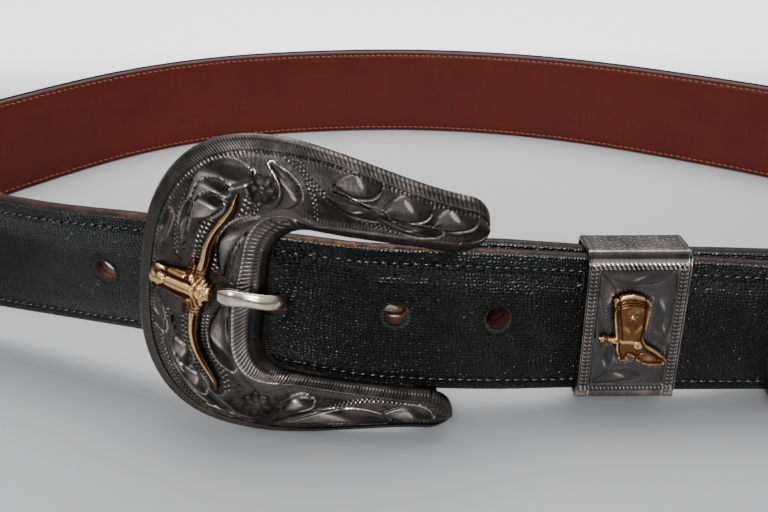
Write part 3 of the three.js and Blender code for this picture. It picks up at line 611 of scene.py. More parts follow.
class Engraving:
    """Relief and polish of an engraved surface over points in its own plane, with painted highlight and
    shade on its leaves.
    """

    def __init__(self, x, y, seed):
        self.x, self.y = x, y
        noise = np.random.default_rng(seed).random(x.shape)
        self.free = np.ones(x.shape)
        self.outline = 1.0
        self.height = -0.2 + 0.07 * noise
        self.shine = 0.04 + 0.22 * noise ** 2

    def put(self, mask, height, shine):
        self.height = lerp(self.height, height, mask)
        self.shine = lerp(self.shine, shine, mask)
        self.free = self.free * (1 - mask)

    def leaf(self, row):
        ax, ay, bx, by, half, bend, widest, rise, polish = row
        dx, dy = bx - ax, by - ay
        long = math.hypot(dx, dy)
        t = ((self.x - ax) * dx + (self.y - ay) * dy) / (long * long)
        n = (-(self.x - ax) * dy + (self.y - ay) * dx) / long
        past = np.maximum(t - 1, 0) * long
        before = np.maximum(-t, 0) * long
        t = np.clip(t, 0, 1)
        swell = 0.12 + 0.88 * np.sin(math.pi / 2 * np.minimum(t / widest, 1))
        width = half * swell * np.sqrt(np.clip(1 - np.maximum((t - widest) / (1 - widest), 0) ** 3.2, 0, 1))
        off = n - bend * 4 * t * (1 - t)
        far = np.hypot(np.maximum(np.abs(off) - width, 0), past + before)
        ratio = np.abs(off) / np.maximum(width, 0.05)
        body = smooth_step(0.3, 0.0, far) * smooth_step(-0.25, 0.2, width - np.abs(off))
        side = off / np.maximum(width, 0.05) * (1 if bend >= 0 else -1)
        dome = np.sqrt(np.clip(1 - (ratio * 0.97) ** 2, 0, 1))
        # A dark scoop along the tip, hollowed and darkened with painted shade, and a painted glint before it
        scoop = smooth_step(0.54, 0.7, t + 0.16 * side)
        lines = bell(np.sin(math.pi * (off + 0.25 * t * half) / 0.62), 0.4) * smooth_step(0.75, 0.3, t)
        height = rise * (dome - 0.6 * scoop) - 0.05 * lines
        # The leaf is brightest part way along and has a lighter rim near its tip: painted highlight
        painted_light = 0.25 + 0.75 * bell(t - 0.4, 0.28)
        shine = polish * painted_light * (0.4 + 0.55 * dome) * (1 - 0.8 * scoop) - 0.12 * lines
        shine = shine + 0.7 * bell(t + 0.16 * side - 0.56, 0.05) * bell(side - 0.1, 0.5)
        shine = shine + 0.2 * bell(ratio - 0.8, 0.2) * smooth_step(0.6, 0.8, t)
        outside = 1 - body
        cut = bell(far - 0.2, 0.3) * outside * smooth_step(3, 1, past + before)
        edge = bell(far - 0.62, 0.3) * outside * smooth_step(0.25, 0.5, t) * smooth_step(1.4, 0.8, past)
        self.put(0.75 * cut, -0.32, 0.04)
        self.height = self.height + 0.16 * edge
        self.shine = lerp(self.shine, 0.55 + 0.45 * polish, edge * self.outline)
        self.free = self.free * (1 - edge)
        self.put(body, height, np.clip(shine, 0, 1))

    def flower(self, u, v, radius, petals):
        dx, dy = self.x - u, self.y - v
        far, turn = np.hypot(dx, dy), np.arctan2(dy, dx)
        lobe = 0.5 + 0.5 * np.cos(petals * turn)
        edge = radius * (0.74 + 0.26 * lobe ** 0.7)
        body = smooth_step(0.15, -0.15, far - edge)
        swell = np.sin(math.pi * np.clip(far / edge, 0, 1)) * (0.45 + 0.55 * lobe)
        middle = smooth_step(0.3, 0.2, far / radius)
        veins = bell(np.sin(petals * turn * 2), 0.35) * 0.1
        height = 0.22 * swell - veins + 0.2 * middle
        self.put(bell(far - edge - 0.25, 0.25) * (1 - body), -0.34, 0.0)
        self.put(body, height, np.clip(0.04 + 0.26 * swell - 2 * veins + 0.3 * middle, 0, 1))

    def beads(self, line):
        pitch, reach = 1.15, 0.62
        far, walked, side = line_distance(self.x, self.y, line)
        band = smooth_step(reach + 0.2, reach - 0.05, far)
        bead = pearls(walked, pitch, math.pi * (side > 0))
        bead = bead * np.sin(math.pi * np.clip(far / reach, 0, 1)) ** 0.7
        self.put(band * self.free, -0.26 + 0.34 * bead, 0.02 + 0.95 * bead)

    def cut(self, line):
        wide, depth = 0.2, 0.3
        far, _, _ = line_distance(self.x, self.y, line)
        ridge = bell(far - wide * 1.6, wide) * 0.5
        groove = bell(far, wide)
        self.height = self.height - depth * groove + 0.12 * ridge
        self.shine = np.clip(self.shine - 0.4 * groove + 0.5 * ridge, 0, 1)

    def hatch(self, mask, phase):
        depth, fresh = 0.1, 0.4
        ridge = 0.5 + 0.5 * np.cos(2 * math.pi * phase)
        self.put(mask * self.free, -0.1 - depth * (1 - ridge), 0.1 + fresh * ridge)


# Shader helpers
def add_node(tree, kind, values=None, **settings):
    made = tree.nodes.new(kind)
    for name, value in settings.items():
        setattr(made, name, value)
    for name, value in (values or {}).items():
        give(tree, made.inputs[name], value)
    return made


def give(tree, socket, value):
    if isinstance(value, bpy.types.NodeSocket):
        tree.links.new(value, socket)
    else:
        socket.default_value = value


def calc(tree, operation, *values, clamp=False):
    made = add_node(tree, "ShaderNodeMath", operation=operation, use_clamp=clamp)
    for socket, value in zip(made.inputs, values):
        give(tree, socket, value)
    return made.outputs[0]


def times(tree, first, second):
    return calc(tree, "MULTIPLY", first, second)


def plus(tree, first, second):
    return calc(tree, "ADD", first, second)


def minus(tree, first, second):
    return calc(tree, "SUBTRACT", first, second)


def feed(node, socket, value):
    """Gives a node's named socket a value or the output of another node."""
    give(node.id_data, node.inputs[socket], value)


def parts_of(tree, vector):
    return add_node(tree, "ShaderNodeSeparateXYZ", {"Vector": vector}).outputs


def named_outputs(node, *names):
    return [node.outputs[name] for name in names]


def step_between(tree, value, low, high):
    """0 below low and 1 above high, smooth between; the other way round if low is higher."""
    flipped = low > high
    return between(tree, value, min(low, high), max(low, high), float(flipped), float(not flipped),
                   interpolation_type="SMOOTHSTEP")


def between(tree, value, low, high, to_low, to_high, **settings):
    made = add_node(tree, "ShaderNodeMapRange", {"Value": value, "From Min": low, "From Max": high,
                                                 "To Min": to_low, "To Max": to_high}, **settings)
    return made.outputs["Result"]


def blend(tree, share, first, second, kind="MIX"):
    made = add_node(tree, "ShaderNodeMix", data_type="RGBA", blend_type=kind)
    give(tree, made.inputs[0], share)
    give(tree, made.inputs[6], first)
    give(tree, made.inputs[7], second)
    return made.outputs[2]


def shader_group(name, inputs, outputs):
    """A node group with named sockets; returns its tree, its input and its output node."""
    tree = bpy.data.node_groups.new(name, "ShaderNodeTree")
    kinds = {"value": "NodeSocketFloat", "colour": "NodeSocketColor", "vector": "NodeSocketVector"}
    for socket, kind, default in inputs:
        made = tree.interface.new_socket(socket, in_out="INPUT", socket_type=kinds[kind])
        if default is not None:
            made.default_value = default
    for socket, kind in outputs:
        tree.interface.new_socket(socket, in_out="OUTPUT", socket_type=kinds[kind])
    return tree, tree.nodes.new("NodeGroupInput"), tree.nodes.new("NodeGroupOutput")


def group_node(tree, name, values):
    made = tree.nodes.new("ShaderNodeGroup")
    made.node_tree = bpy.data.node_groups[name]
    for socket, value in values.items():
        give(tree, made.inputs[socket], value)
    return made


def mottle_group():
    """Soft cloudy variation and fine grain over a surface."""
    tree, start, end = shader_group(
        "Mottle",
        (("Vector", "vector", None), ("Cloud Scale", "value", 60.0), ("Grain Scale", "value", 900.0)),
        (("Cloud", "value"), ("Grain", "value")))
    cloud = add_node(tree, "ShaderNodeTexNoise", {"Vector": start.outputs["Vector"],
                     "Scale": start.outputs["Cloud Scale"], "Detail": 4.0, "Roughness": 0.6})
    grain = add_node(tree, "ShaderNodeTexNoise", {"Vector": start.outputs["Vector"],
                     "Scale": start.outputs["Grain Scale"], "Detail": 2.0, "Roughness": 0.55})
    feed(end, "Cloud", cloud.outputs["Fac"])
    feed(end, "Grain", grain.outputs["Fac"])


def scratch_group():
    """Fine straight rubs, stretched noise in two directions."""
    tree, start, end = shader_group(
        "Fine Rubs", (("Vector", "vector", None), ("Scale", "value", 1.0)), (("Rubs", "value"),))
    total = None
    for turn, stretch in ((0.5, (60, 60, 1600)), (-0.35, (1700, 70, 90))):
        mapping = add_node(tree, "ShaderNodeMapping", {"Vector": start.outputs["Vector"],
                           "Rotation": (turn, turn, 0.3), "Scale": stretch})
        scaled = add_node(tree, "ShaderNodeVectorMath", operation="SCALE")
        give(tree, scaled.inputs[0], mapping.outputs[0])
        feed(scaled, "Scale", start.outputs["Scale"])
        noise = add_node(tree, "ShaderNodeTexNoise", {"Vector": scaled.outputs[0], "Scale": 1.0,
                                                      "Detail": 2.0})
        total = noise.outputs["Fac"] if total is None else plus(tree, total, noise.outputs["Fac"])
    feed(end, "Rubs", times(tree, total, 0.5))


def scale_group():
    """Rows of small lizard scales over a surface laid out in millimetres."""
    tree, start, end = shader_group(
        "Lizard Scales",
        (("Vector", "vector", None), ("Row Pitch", "value", 0.95), ("Scale Tall", "value", 0.85),
         ("Disorder", "value", 0.6)),
        (("Height", "value"), ("Cell", "value"), ("Gap", "value")))
    x, y, _ = parts_of(tree, start.outputs["Vector"])
    wander = add_node(tree, "ShaderNodeTexNoise", {"Vector": start.outputs["Vector"], "Scale": 0.09,
                                                   "Detail": 1.0}, noise_dimensions="2D")
    shift = times(tree, minus(tree, wander.outputs["Fac"], 0.5), 5.0)
    along = calc(tree, "DIVIDE", plus(tree, x, shift), start.outputs["Row Pitch"])
    high = calc(tree, "DIVIDE", y, start.outputs["Scale Tall"])
    place = add_node(tree, "ShaderNodeCombineXYZ", {"X": along, "Y": high})
    layout = {"Vector": place.outputs[0], "Scale": 1.0, "Randomness": start.outputs["Disorder"]}
    edge, cell = (add_node(tree, "ShaderNodeTexVoronoi", layout, feature=feature, voronoi_dimensions="2D")
                  for feature in ("DISTANCE_TO_EDGE", "F1"))
    colour = add_node(tree, "ShaderNodeSeparateColor", {"Color": cell.outputs["Color"]})
    dome = calc(tree, "POWER", between(tree, edge.outputs["Distance"], 0.0, 0.42, 0.0, 1.0), 0.55)
    tilt = times(tree, calc(tree, "FRACT", high), 0.12)
    height = plus(tree, times(tree, dome, between(tree, colour.outputs[0], 0, 1, 0.55, 1.2)), tilt)
    row = calc(tree, "ABSOLUTE", minus(tree, calc(tree, "FRACT", along), 0.5))
    height = minus(tree, height, times(tree, step_between(tree, row, 0.36, 0.5), 0.35))
    feed(end, "Height", height)
    feed(end, "Cell", colour.outputs[1])
    feed(end, "Gap", step_between(tree, edge.outputs["Distance"], 0.12, 0.02))


def hole_rise(number):
    return WORN_HOLE_RISE if number == WORN_HOLE else HOLE_RISE


def hole_group():
    """Distance from the nearest belt hole, in millimetres, over the strap's own layout."""
    tree, start, end = shader_group("Hole Distance", (("Vector", "vector", None),), (("Distance", "value"),))
    x, y, _ = parts_of(tree, start.outputs["Vector"])
    nearest = None
    for i, hole in enumerate(HOLES):
        shift = WORN_RIM_SHIFT if i == WORN_HOLE else 0.0
        along = minus(tree, x, float(hole + shift))
        high = minus(tree, y, STRAP_WIDTH / 2 + hole_rise(i))
        far = calc(tree, "SQRT", plus(tree, times(tree, along, along), times(tree, high, high)))
        nearest = far if nearest is None else calc(tree, "MINIMUM", nearest, far)
    feed(end, "Distance", nearest)


def edge_group():
    """How near a place on the strap is to its upper or lower edge, in millimetres."""
    tree, start, end = shader_group("Edge Distance", (("Vector", "vector", None),),
                                    (("Distance", "value"), ("Along", "value"), ("High", "value")))
    x, y, _ = parts_of(tree, start.outputs["Vector"])
    other = minus(tree, STRAP_WIDTH, y)
    feed(end, "Distance", calc(tree, "MINIMUM", y, other))
    feed(end, "Along", x)
    feed(end, "High", y)


def new_material(name):
    material = bpy.data.materials.new(name)
    material.use_nodes = True
    tree = material.node_tree
    return material, tree, tree.nodes["Principled BSDF"]


def own_uv(tree):
    return add_node(tree, "ShaderNodeUVMap", uv_map="UVMap").outputs[0]


def own_place(tree):
    return add_node(tree, "ShaderNodeTexCoord").outputs["Object"]


def mottled(tree, place, cloud_scale, grain_scale):
    """Clouds and grain over a surface."""
    scales = {"Vector": place, "Cloud Scale": cloud_scale, "Grain Scale": grain_scale}
    return named_outputs(group_node(tree, "Mottle", scales), "Cloud", "Grain")


def rubbed_at(tree, place, scale):
    return group_node(tree, "Fine Rubs", {"Vector": place, "Scale": scale}).outputs["Rubs"]


def shine_mark(tree):
    """How polished each place is, with painted highlight and shade in places, carried by the mesh."""
    made = add_node(tree, "ShaderNodeAttribute", attribute_name="shine", attribute_type="GEOMETRY")
    return made.outputs["Fac"]


def bump(tree, height, distance):
    made = add_node(tree, "ShaderNodeBump", {"Height": height, "Distance": distance, "Strength": 1.0})
    return made.outputs["Normal"]


def lizard_leather(looks):
    material, tree, shader = new_material("lizard_leather")
    uv = own_uv(tree)
    scales = group_node(tree, "Lizard Scales", {"Vector": uv})
    scale_height, cell, gap = named_outputs(scales, "Height", "Cell", "Gap")
    edge = group_node(tree, "Edge Distance", {"Vector": uv})
    from_edge, along, high = named_outputs(edge, "Distance", "Along", "High")
    from_hole = group_node(tree, "Hole Distance", {"Vector": uv}).outputs["Distance"]
    cloud, grain = mottled(tree, own_place(tree), 70.0, 1500.0)
    # Scales are plump towards the buckled end and worn flat on the left
    plump = step_between(tree, along, WAY.length - 275, WAY.length - 175)
    start_plump = step_between(tree, along, 330.0, 200.0)
    plump = calc(tree, "MAXIMUM", plump, start_plump)
    inner = step_between(tree, from_edge, 0.5, 1.2)
    upper = step_between(tree, high, 24.0, 34.0)
    lively = times(tree, plump, between(tree, upper, 0, 1, 0.42, 1.25))
    relief = times(tree, inner, between(tree, lively, 0, 1.25, 0.28, 1.5))
    height = times(tree, scale_height, relief)
    height = plus(tree, height, times(tree, grain, 0.25))
    # The leather swells between the stitches of the upper seam
    turn = times(tree, minus(tree, along, STITCH_START),
                 2 * math.pi / bpy.context.scene.belt_stitching.pitch)
    swell = between(tree, calc(tree, "COSINE", turn), -0.6, 1, 0.1, 0.6)
    seam = STRAP_WIDTH - SEAM_FROM_EDGE - UPPER_SEAM_DROP
    swell = times(tree, swell, step_between(tree, high, seam + 0.1, seam - 1.1))
    swell = times(tree, swell, step_between(tree, high, seam - 5, seam - 1.6))
    height = plus(tree, height, times(tree, swell, plump))
    normal = bump(tree, height, 0.0007)
    colour = blend(tree, cell, (*looks.lizard_dark, 1), (*looks.lizard_light, 1))
    colour = blend(tree, times(tree, gap, 0.6), colour, (0.004, 0.004, 0.004, 1))
    # Cut edge, dark brown and rubbed to tan near the buckle
    cut_edge = step_between(tree, from_edge, 0.9, 0.45)
    colour = blend(tree, times(tree, cut_edge, 0.85), colour, (*looks.edge_brown, 1))
    free_end = step_between(tree, along, WAY.length - 255, WAY.length - 205)
    free_end = times(tree, free_end, step_between(tree, along, WAY.length - 75, WAY.length - 125))
    rubbed = times(tree, step_between(tree, cloud, 0.36, 0.54), free_end)
    patches, specks = mottled(tree, own_place(tree), 420.0, 1500.0)
    rubbed = times(tree, rubbed, step_between(tree, patches, 0.3, 0.6))
    rubbed = times(tree, rubbed, between(tree, specks, 0.35, 0.65, 0.25, 1.0))
    rubbed = times(tree, rubbed, step_between(tree, from_edge, 0.8, 0.3))
    rubbed = times(tree, rubbed, between(tree, along, WAY.length - 215, WAY.length - 165, 0.2, 1.0))
    rubbed = times(tree, rubbed, step_between(tree, high, 30, 36))
    colour = blend(tree, times(tree, rubbed, 0.85), colour, (*looks.edge_tan, 1))
    # Punched rims, pale where the finish is pushed back
    rim = times(tree, step_between(tree, from_hole, 3.9, 3.3), step_between(tree, from_hole, 2.6, 3.0))
    colour = blend(tree, times(tree, rim, 0.5), colour, (*looks.hole_rim, 1))
    feed(shader, "Base Color", colour)
    rough = between(tree, cell, 0, 1, looks.lizard_rough - 0.08, looks.lizard_rough + 0.14)
    rough = plus(tree, rough, times(tree, gap, 0.2))
    rough = plus(tree, rough, between(tree, plump, 0, 1, 0.16, 0.0))
    rough = plus(tree, rough, times(tree, cut_edge, 0.2))
    feed(shader, "Roughness", rough)
    feed(shader, "Normal", normal)
    feed(shader, "Specular IOR Level", 0.12)
    glossy = between(tree, lively, 0, 1.25, 0.05, 1.0)
    glossy = times(tree, glossy, between(tree, cut_edge, 0, 1, 1.0, 0.2))
    feed(shader, "Coat Weight", glossy)
    feed(shader, "Coat Roughness", 0.05)
    feed(shader, "Coat Normal", normal)
    return material


def hole_leather(looks):
    material, tree, shader = new_material("hole_leather")
    cloud, grain = mottled(tree, own_place(tree), 300.0, 2500.0)
    colour = blend(tree, cloud, (*looks.hole_dark, 1), (*looks.hole_light, 1))
    feed(shader, "Base Color", colour)
    feed(shader, "Roughness", 0.75)
    feed(shader, "Normal", bump(tree, grain, 0.0002))
    return material


def russet_leather(looks):
    material, tree, shader = new_material("russet_leather")
    uv = own_uv(tree)
    edge = group_node(tree, "Edge Distance", {"Vector": uv})
    cloud, grain = mottled(tree, own_place(tree), 38.0, 1300.0)
    rubs = rubbed_at(tree, own_place(tree), 0.35)
    colour = blend(tree, between(tree, cloud, 0.3, 0.7, 0, 1),
                   (*looks.russet_dark, 1), (*looks.russet_light, 1))
    scuff = times(tree, step_between(tree, rubs, 0.56, 0.7), 0.1)
    colour = blend(tree, scuff, colour, (*looks.russet_scuff, 1))
    rim = step_between(tree, edge.outputs["Distance"], 1.1, 0.4)
    colour = blend(tree, times(tree, rim, 0.85), colour, (0.022, 0.008, 0.006, 1))
    feed(shader, "Base Color", colour)
    rough = between(tree, cloud, 0.3, 0.7, 0.42, 0.56)
    feed(shader, "Roughness", rough)
    feed(shader, "Specular IOR Level", 0.25)
    height = plus(tree, times(tree, grain, 0.6), rubs)
    feed(shader, "Normal", bump(tree, height, 0.0001))
    return material


def thread_material(name, dark, light, rough, waxed):
    material, tree, shader = new_material(name)
    place = own_place(tree)
    cloud, grain = mottled(tree, place, 500.0, 4000.0)
    colour = blend(tree, cloud, (*dark, 1), (*light, 1))
    feed(shader, "Base Color", colour)
    feed(shader, "Roughness", rough)
    feed(shader, "Coat Weight", waxed)
    feed(shader, "Coat Roughness", 0.12)
    feed(shader, "Coat IOR", 1.9)
    feed(shader, "Normal", bump(tree, grain, 0.0001))
    return material


def engraved_silver(name, looks, part="silver"):
    """Oxidised silver: its mesh carries how polished each place is, with painted highlight and shade in
    places, in the mark named shine.
    """
    material, tree, shader = new_material(name)
    recess, ground, polish = (getattr(looks, part + end) for end in ("_recess", "_ground", "_polish"))
    place = own_place(tree)
    shine = shine_mark(tree)
    cloud, grain = mottled(tree, place, 140.0, 2600.0)
    rubs = rubbed_at(tree, place, 1.0)
    # worn follows the shine mark: polish, and painted highlight and shade in places
    worn = calc(tree, "ADD", shine, between(tree, cloud, 0.3, 0.7, -0.14, 0.14), clamp=True)
    low = blend(tree, step_between(tree, worn, 0.0, 0.3), (*recess, 1), (*ground, 1))
    colour = blend(tree, step_between(tree, worn, 0.35, 0.95), low, (*polish, 1))
    tint = step_between(tree, cloud, 0.42, 0.66)
    colour = blend(tree, times(tree, tint, 0.45), colour, (*looks.silver_warm, 1), "SOFT_LIGHT")
    feed(shader, "Base Color", colour)
    feed(shader, "Metallic", 1.0)
    rough = between(tree, worn, 0, 1, looks.silver_rough + 0.12, looks.silver_rough - 0.12)
    rough = plus(tree, rough, between(tree, rubs, 0.4, 0.6, -0.05, 0.06))
    feed(shader, "Roughness", rough)
    height = plus(tree, times(tree, grain, 0.5), rubs)
    feed(shader, "Normal", bump(tree, height, 0.00004))
    return material


def aged_gold(looks):
    material, tree, shader = new_material("aged_gold")
    place = own_place(tree)
    shine = shine_mark(tree)
    cloud, grain = mottled(tree, place, 260.0, 2500.0)
    rubs = rubbed_at(tree, place, 1.2)
    # worn follows the shine mark: polish, and on the longhorn painted highlight and shade as well
    worn = calc(tree, "ADD", shine, between(tree, cloud, 0.3, 0.7, -0.2, 0.2), clamp=True)
    low = blend(tree, step_between(tree, worn, 0.05, 0.4), (*looks.gold_dark, 1), (*looks.gold_mid, 1))
    colour = blend(tree, step_between(tree, worn, 0.45, 0.9), low, (*looks.gold_light, 1))
    feed(shader, "Base Color", colour)
    feed(shader, "Metallic", 1.0)
    feed(shader, "Roughness", between(tree, worn, 0, 1, 0.34, 0.1))
    height = plus(tree, times(tree, grain, 0.8), rubs)
    feed(shader, "Normal", bump(tree, height, 0.00005))
    return material


def polished_silver(looks):
    material, tree, shader = new_material("polished_silver")
    place = own_place(tree)
    cloud, _ = mottled(tree, place, 180.0, 2200.0)
    rubs = rubbed_at(tree, place, 0.8)
    colour = blend(tree, between(tree, cloud, 0.3, 0.7, 0, 1),
                   (*looks.prong_dull, 1), (*looks.prong_bright, 1))
    feed(shader, "Base Color", colour)
    feed(shader, "Metallic", 1.0)
    feed(shader, "Roughness", between(tree, rubs, 0.35, 0.65, 0.1, 0.24))
    feed(shader, "Normal", bump(tree, rubs, 0.00003))
    return material


def plain_floor(colour):
    material, tree, shader = new_material("plain_floor")
    cloud, _ = mottled(tree, own_place(tree), 3.0, 80.0)
    dim = tuple(0.96 * part for part in colour)
    # The floor turns paler towards the back: painted light
    _, deep, _ = parts_of(tree, own_place(tree))
    back = step_between(tree, deep, 0.12, 0.25)
    near = blend(tree, cloud, (*dim, 1), (*colour, 1))
    feed(shader, "Base Color", blend(tree, back, near, FLOOR_PAINTED_LIGHT_FAR))
    feed(shader, "Roughness", 0.38)
    return material


# Leather
def leather_relief(depth, groove, height):
    """Front of a stitched leather layer over its height, from the glued side outward."""
    edge = np.minimum(height, STRAP_WIDTH - height)
    front = LEATHER_WALL - 0.05 - 0.95 * np.clip(1 - edge / 1.15, 0, 1) ** 2.4
    if depth:
        seam = np.minimum(height, STRAP_WIDTH - height - UPPER_SEAM_DROP)
        crown = smooth_step(3.1, 8.5, seam) * 0.42 + smooth_step(3.0, 4.3, seam) * 0.3 - 0.36
        front = front + depth * crown
    else:
        seam = edge
    return front - 0.36 * bell(seam - groove, 0.6)


def section_heights():
    half = [0.0, 0.12, 0.3, 0.55, 0.85, 1.2, 1.6, 2.0, 2.35, 2.65, 2.9, 3.15, 3.45, 3.8, 4.2, 4.6, 5.1,
            5.8, 7.2, 8.8, 10.5, 12.2]
    lower = np.array(half + list(np.arange(13.6, STRAP_WIDTH / 2, 0.7)))
    return np.concatenate((lower, [STRAP_WIDTH / 2], STRAP_WIDTH - lower[::-1]))


def station_distances(start, pitch=2.4):
    """Distances along the strap, closer together round each hole."""
    marks = [np.arange(start, WAY.length, pitch), [WAY.length]]
    for hole in HOLES:
        marks.append(np.arange(hole - 5.5, hole + 5.5, 0.6))
    distances = np.unique(np.round(np.concatenate(marks), 3))
    return distances[np.concatenate(([True], np.diff(distances) > 0.15))]


def fold_stations():
    """Frames of the skived return behind the bar and of the turn round it."""
    parts = []
    back = np.linspace(SKIVED_RETURN, 0, 13)
    frames = strap_frames(back)
    fade = np.maximum(0, 1 - back / FOLD_LEAD_IN)
    seated = -(STRAP_HALF + RETURN_CLEARANCE + LEATHER_WALL / 2)
    at_bar = -(2 * FOLD_MID - STRAP_HALF + LEATHER_WALL / 2)
    origin = frames.place(np.zeros(len(back)), lerp(seated, at_bar, fade), np.zeros(len(back)))
    inset = TONGUE_INSET * back / SKIVED_RETURN
    parts.append((origin, frames.along, frames.top, -frames.out, inset, -back - FOLD_LAYOUT))
    first = strap_frames(0.0)
    turn = np.linspace(0, math.pi, 20)[1:-1, None]
    out = -np.cos(turn) * first.out - np.sin(turn) * first.along
    axis = BAR_CENTRE - BAR_UP * (STRAP_WIDTH / 2 + STRAP_BELOW_BAR)
    count = len(turn)
    same = [np.repeat(values, count, axis=0) for values in (first.along, first.top)]
    walked = -FOLD_LAYOUT * (1 - turn[:, 0] / math.pi)
    parts.append((axis + out * FOLD_MID, same[0], same[1], out, np.zeros(count), walked))
    return [np.concatenate(group) for group in zip(*parts)]


def punched(height, distance, depth):
    """Leather pushed in round the holes."""
    dent = np.zeros(np.broadcast(height, distance).shape)
    for i, hole in enumerate(HOLES):
        shift = WORN_HOLE_SHIFT if i == WORN_HOLE else 0.0
        far = np.hypot(distance - hole - shift, height - STRAP_WIDTH / 2 - hole_rise(i))
        dent = np.maximum(dent, depth * bell(far - 2.6, 1.1))
    return dent


def finished_cutter(cutter, points, material):
    move_vertices(cutter, points)
    cutter.data.materials.append(material)
    tidy_surface(cutter)
    return cutter


def hole_cutters(material):
    """One round cutter a hole; the hole in use is drawn out along the prong."""
    cutters = []
    for i, hole in enumerate(HOLES):
        here = strap_frames(hole)
        worn = i == WORN_HOLE
        cutter = made_by(bpy.ops.mesh.primitive_cylinder_add, vertices=40, radius=HOLE_RADIUS, depth=12,
                         end_fill_type="NGON")
        x, y, z = raw_vectors(cutter).T
        along = x * (1.15 if worn else 1) + (0.6 * z if worn else 0)
        centre = here.place(np.array([WORN_HOLE_SHIFT if worn else 0.0]), np.zeros(1),
                            np.array([STRAP_WIDTH / 2 + hole_rise(i)]))
        points = centre + along[:, None] * here.along - z[:, None] * here.out + y[:, None] * here.top
        cutters.append(finished_cutter(cutter, points, material))
    return cutters


def slot_cutter(material):
    here = strap_frames(0.0)
    cutter = made_by(bpy.ops.mesh.primitive_cube_add, size=1)
    x, y, z = raw_vectors(cutter).T
    centre = BAR_CENTRE + BAR_UP * EYE_V
    points = (centre + (x * 15 + 1.5)[:, None] * here.along + (y * 4 * FOLD_MID)[:, None] * here.out
              + (z * 5.6)[:, None] * here.top)
    return finished_cutter(cutter, points, material)


def layer_ring(heights, front):
    """Heights and outs of a closed section: up the front, then down the glued side."""
    back = np.linspace(STRAP_WIDTH, 0, 6)
    ring_heights = np.concatenate((heights, back))
    outs = np.concatenate((front, np.zeros(len(back))))
    return closing(ring_heights), closing(outs)


def lizard_skin(looks):
    heights = section_heights()
    ring_heights, ring_outs = layer_ring(heights, leather_relief(1.0, LIZARD_GROOVE, heights))
    distances = station_distances(0.0)
    frames = strap_frames(distances)
    origin, along, top, out, inset, walked = fold_stations()
    every = Frames(np.concatenate((origin, frames.origin)), np.concatenate((along, frames.along)),
                   np.concatenate((top, frames.top)), np.concatenate((out, frames.out)))
    inset = np.concatenate((inset, np.zeros(len(distances))))[:, None]
    walked = np.concatenate((walked, distances))[:, None]
    base = np.where(walked < 0, -LEATHER_WALL / 2, LAYER_GAP / 2)
    high = grown(inset + ring_heights * (STRAP_WIDTH - 2 * inset) / STRAP_WIDTH, walked)
    outs = base + ring_outs - punched(ring_heights, walked, 0.3) * (ring_outs > 1)
    points = every.place(np.zeros_like(high), outs, high)
    points = with_end_caps(points)
    uv = np.stack(np.broadcast_arrays(walked, ring_heights), axis=-1)
    piece = grid_piece("lizard_skin", points, with_ends_twice(uv))
    piece.data.materials.append(lizard_leather(looks))
    inside = hole_leather(looks)
    cut_by(piece, hole_cutters(inside) + [slot_cutter(inside)])
    finish_piece(piece, None, ("lizard_strap",))


def with_ends_twice(values):
    return np.concatenate((values[:1], values, values[-1:]))


def with_end_caps(points):
    """Adds a row collapsed to its middle at both ends, so that the piece is closed."""
    first = np.broadcast_to(points[0].mean(axis=0), points[0].shape)
    last = np.broadcast_to(points[-1].mean(axis=0), points[-1].shape)
    return np.concatenate((first[None], points, last[None]))


def russet_lining(looks):
    heights = section_heights()
    ring_heights, ring_outs = layer_ring(heights, leather_relief(0.0, LINING_GROOVE, heights))
    distances = station_distances(LINING_START)
    frames = strap_frames(distances)
    high = LINING_INSET + ring_heights * (STRAP_WIDTH - 2 * LINING_INSET) / STRAP_WIDTH
    high = grown(high, distances[:, None])
    outs = -(LAYER_GAP / 2 + ring_outs - punched(ring_heights, distances[:, None], 0.2) * (ring_outs > 1))
    points = with_end_caps(frames.place(np.zeros(outs.shape), outs, np.broadcast_to(high, outs.shape)))
    uv = np.stack(np.broadcast_arrays(distances[:, None], ring_heights), axis=-1)
    piece = grid_piece("russet_lining", points, with_ends_twice(uv))
    piece.data.materials.append(russet_leather(looks))
    cut_by(piece, hole_cutters(bpy.data.materials["hole_leather"]))
    finish_piece(piece, None, ("strap_lining",))


def stitch_row(name, material, rows, start, seams):
    """A run of small stitches, each a short spindle that dips into the leather at both ends.

    rows gives for each seam its height on the strap and its out; stitches slant a little."""
    pitch, long, thick = seams.pitch, seams.long, seams.thick
    count = int((WAY.length - STITCH_END_ROOM - start) / pitch)
    piece = made_by(bpy.ops.mesh.primitive_uv_sphere_add, segments=6, ring_count=5, radius=1)
    piece.name = name
    piece.data.name = name
    single = len(piece.data.vertices)
    apply_modifier(piece, "ARRAY", count=count * len(rows), use_relative_offset=True,
                   relative_offset_displace=(1.5, 0, 0))
    local = raw_vectors(piece)[:single]
    x, y, z = local[:, 2] * long / 2, local[:, 0] * thick / 2, local[:, 1] * thick / 2
    sink = 0.35 * thick * (x / (long / 2)) ** 2
    wobble = np.random.default_rng(STITCH_SEED).normal(0, 1, (count * len(rows), 3))
    all_points = []
    for k, (height, out) in enumerate(rows):
        distances = start + pitch * (np.arange(count) + 0.5)
        frames = strap_frames(distances)
        jitter = wobble[k * count:(k + 1) * count]
        slant = 0.16 + 0.05 * jitter[:, :1]
        side = math.copysign(1, out)
        along = x[None, :] * np.ones((count, 1)) + 0.08 * jitter[:, 1:2]
        high = grown(height, distances)[:, None] + y[None, :] + slant * x[None, :] + 0.05 * jitter[:, 2:3]
        outs = out + side * (z - sink)[None, :] * np.ones((count, 1))
        all_points.append(frames.place(along, outs, high))
    move_vertices(piece, np.concatenate(all_points).reshape(-1, 3))
    tidy_surface(piece, threshold=1e-7)
    bpy.ops.object.shade_smooth()
    finish_piece(piece, material)


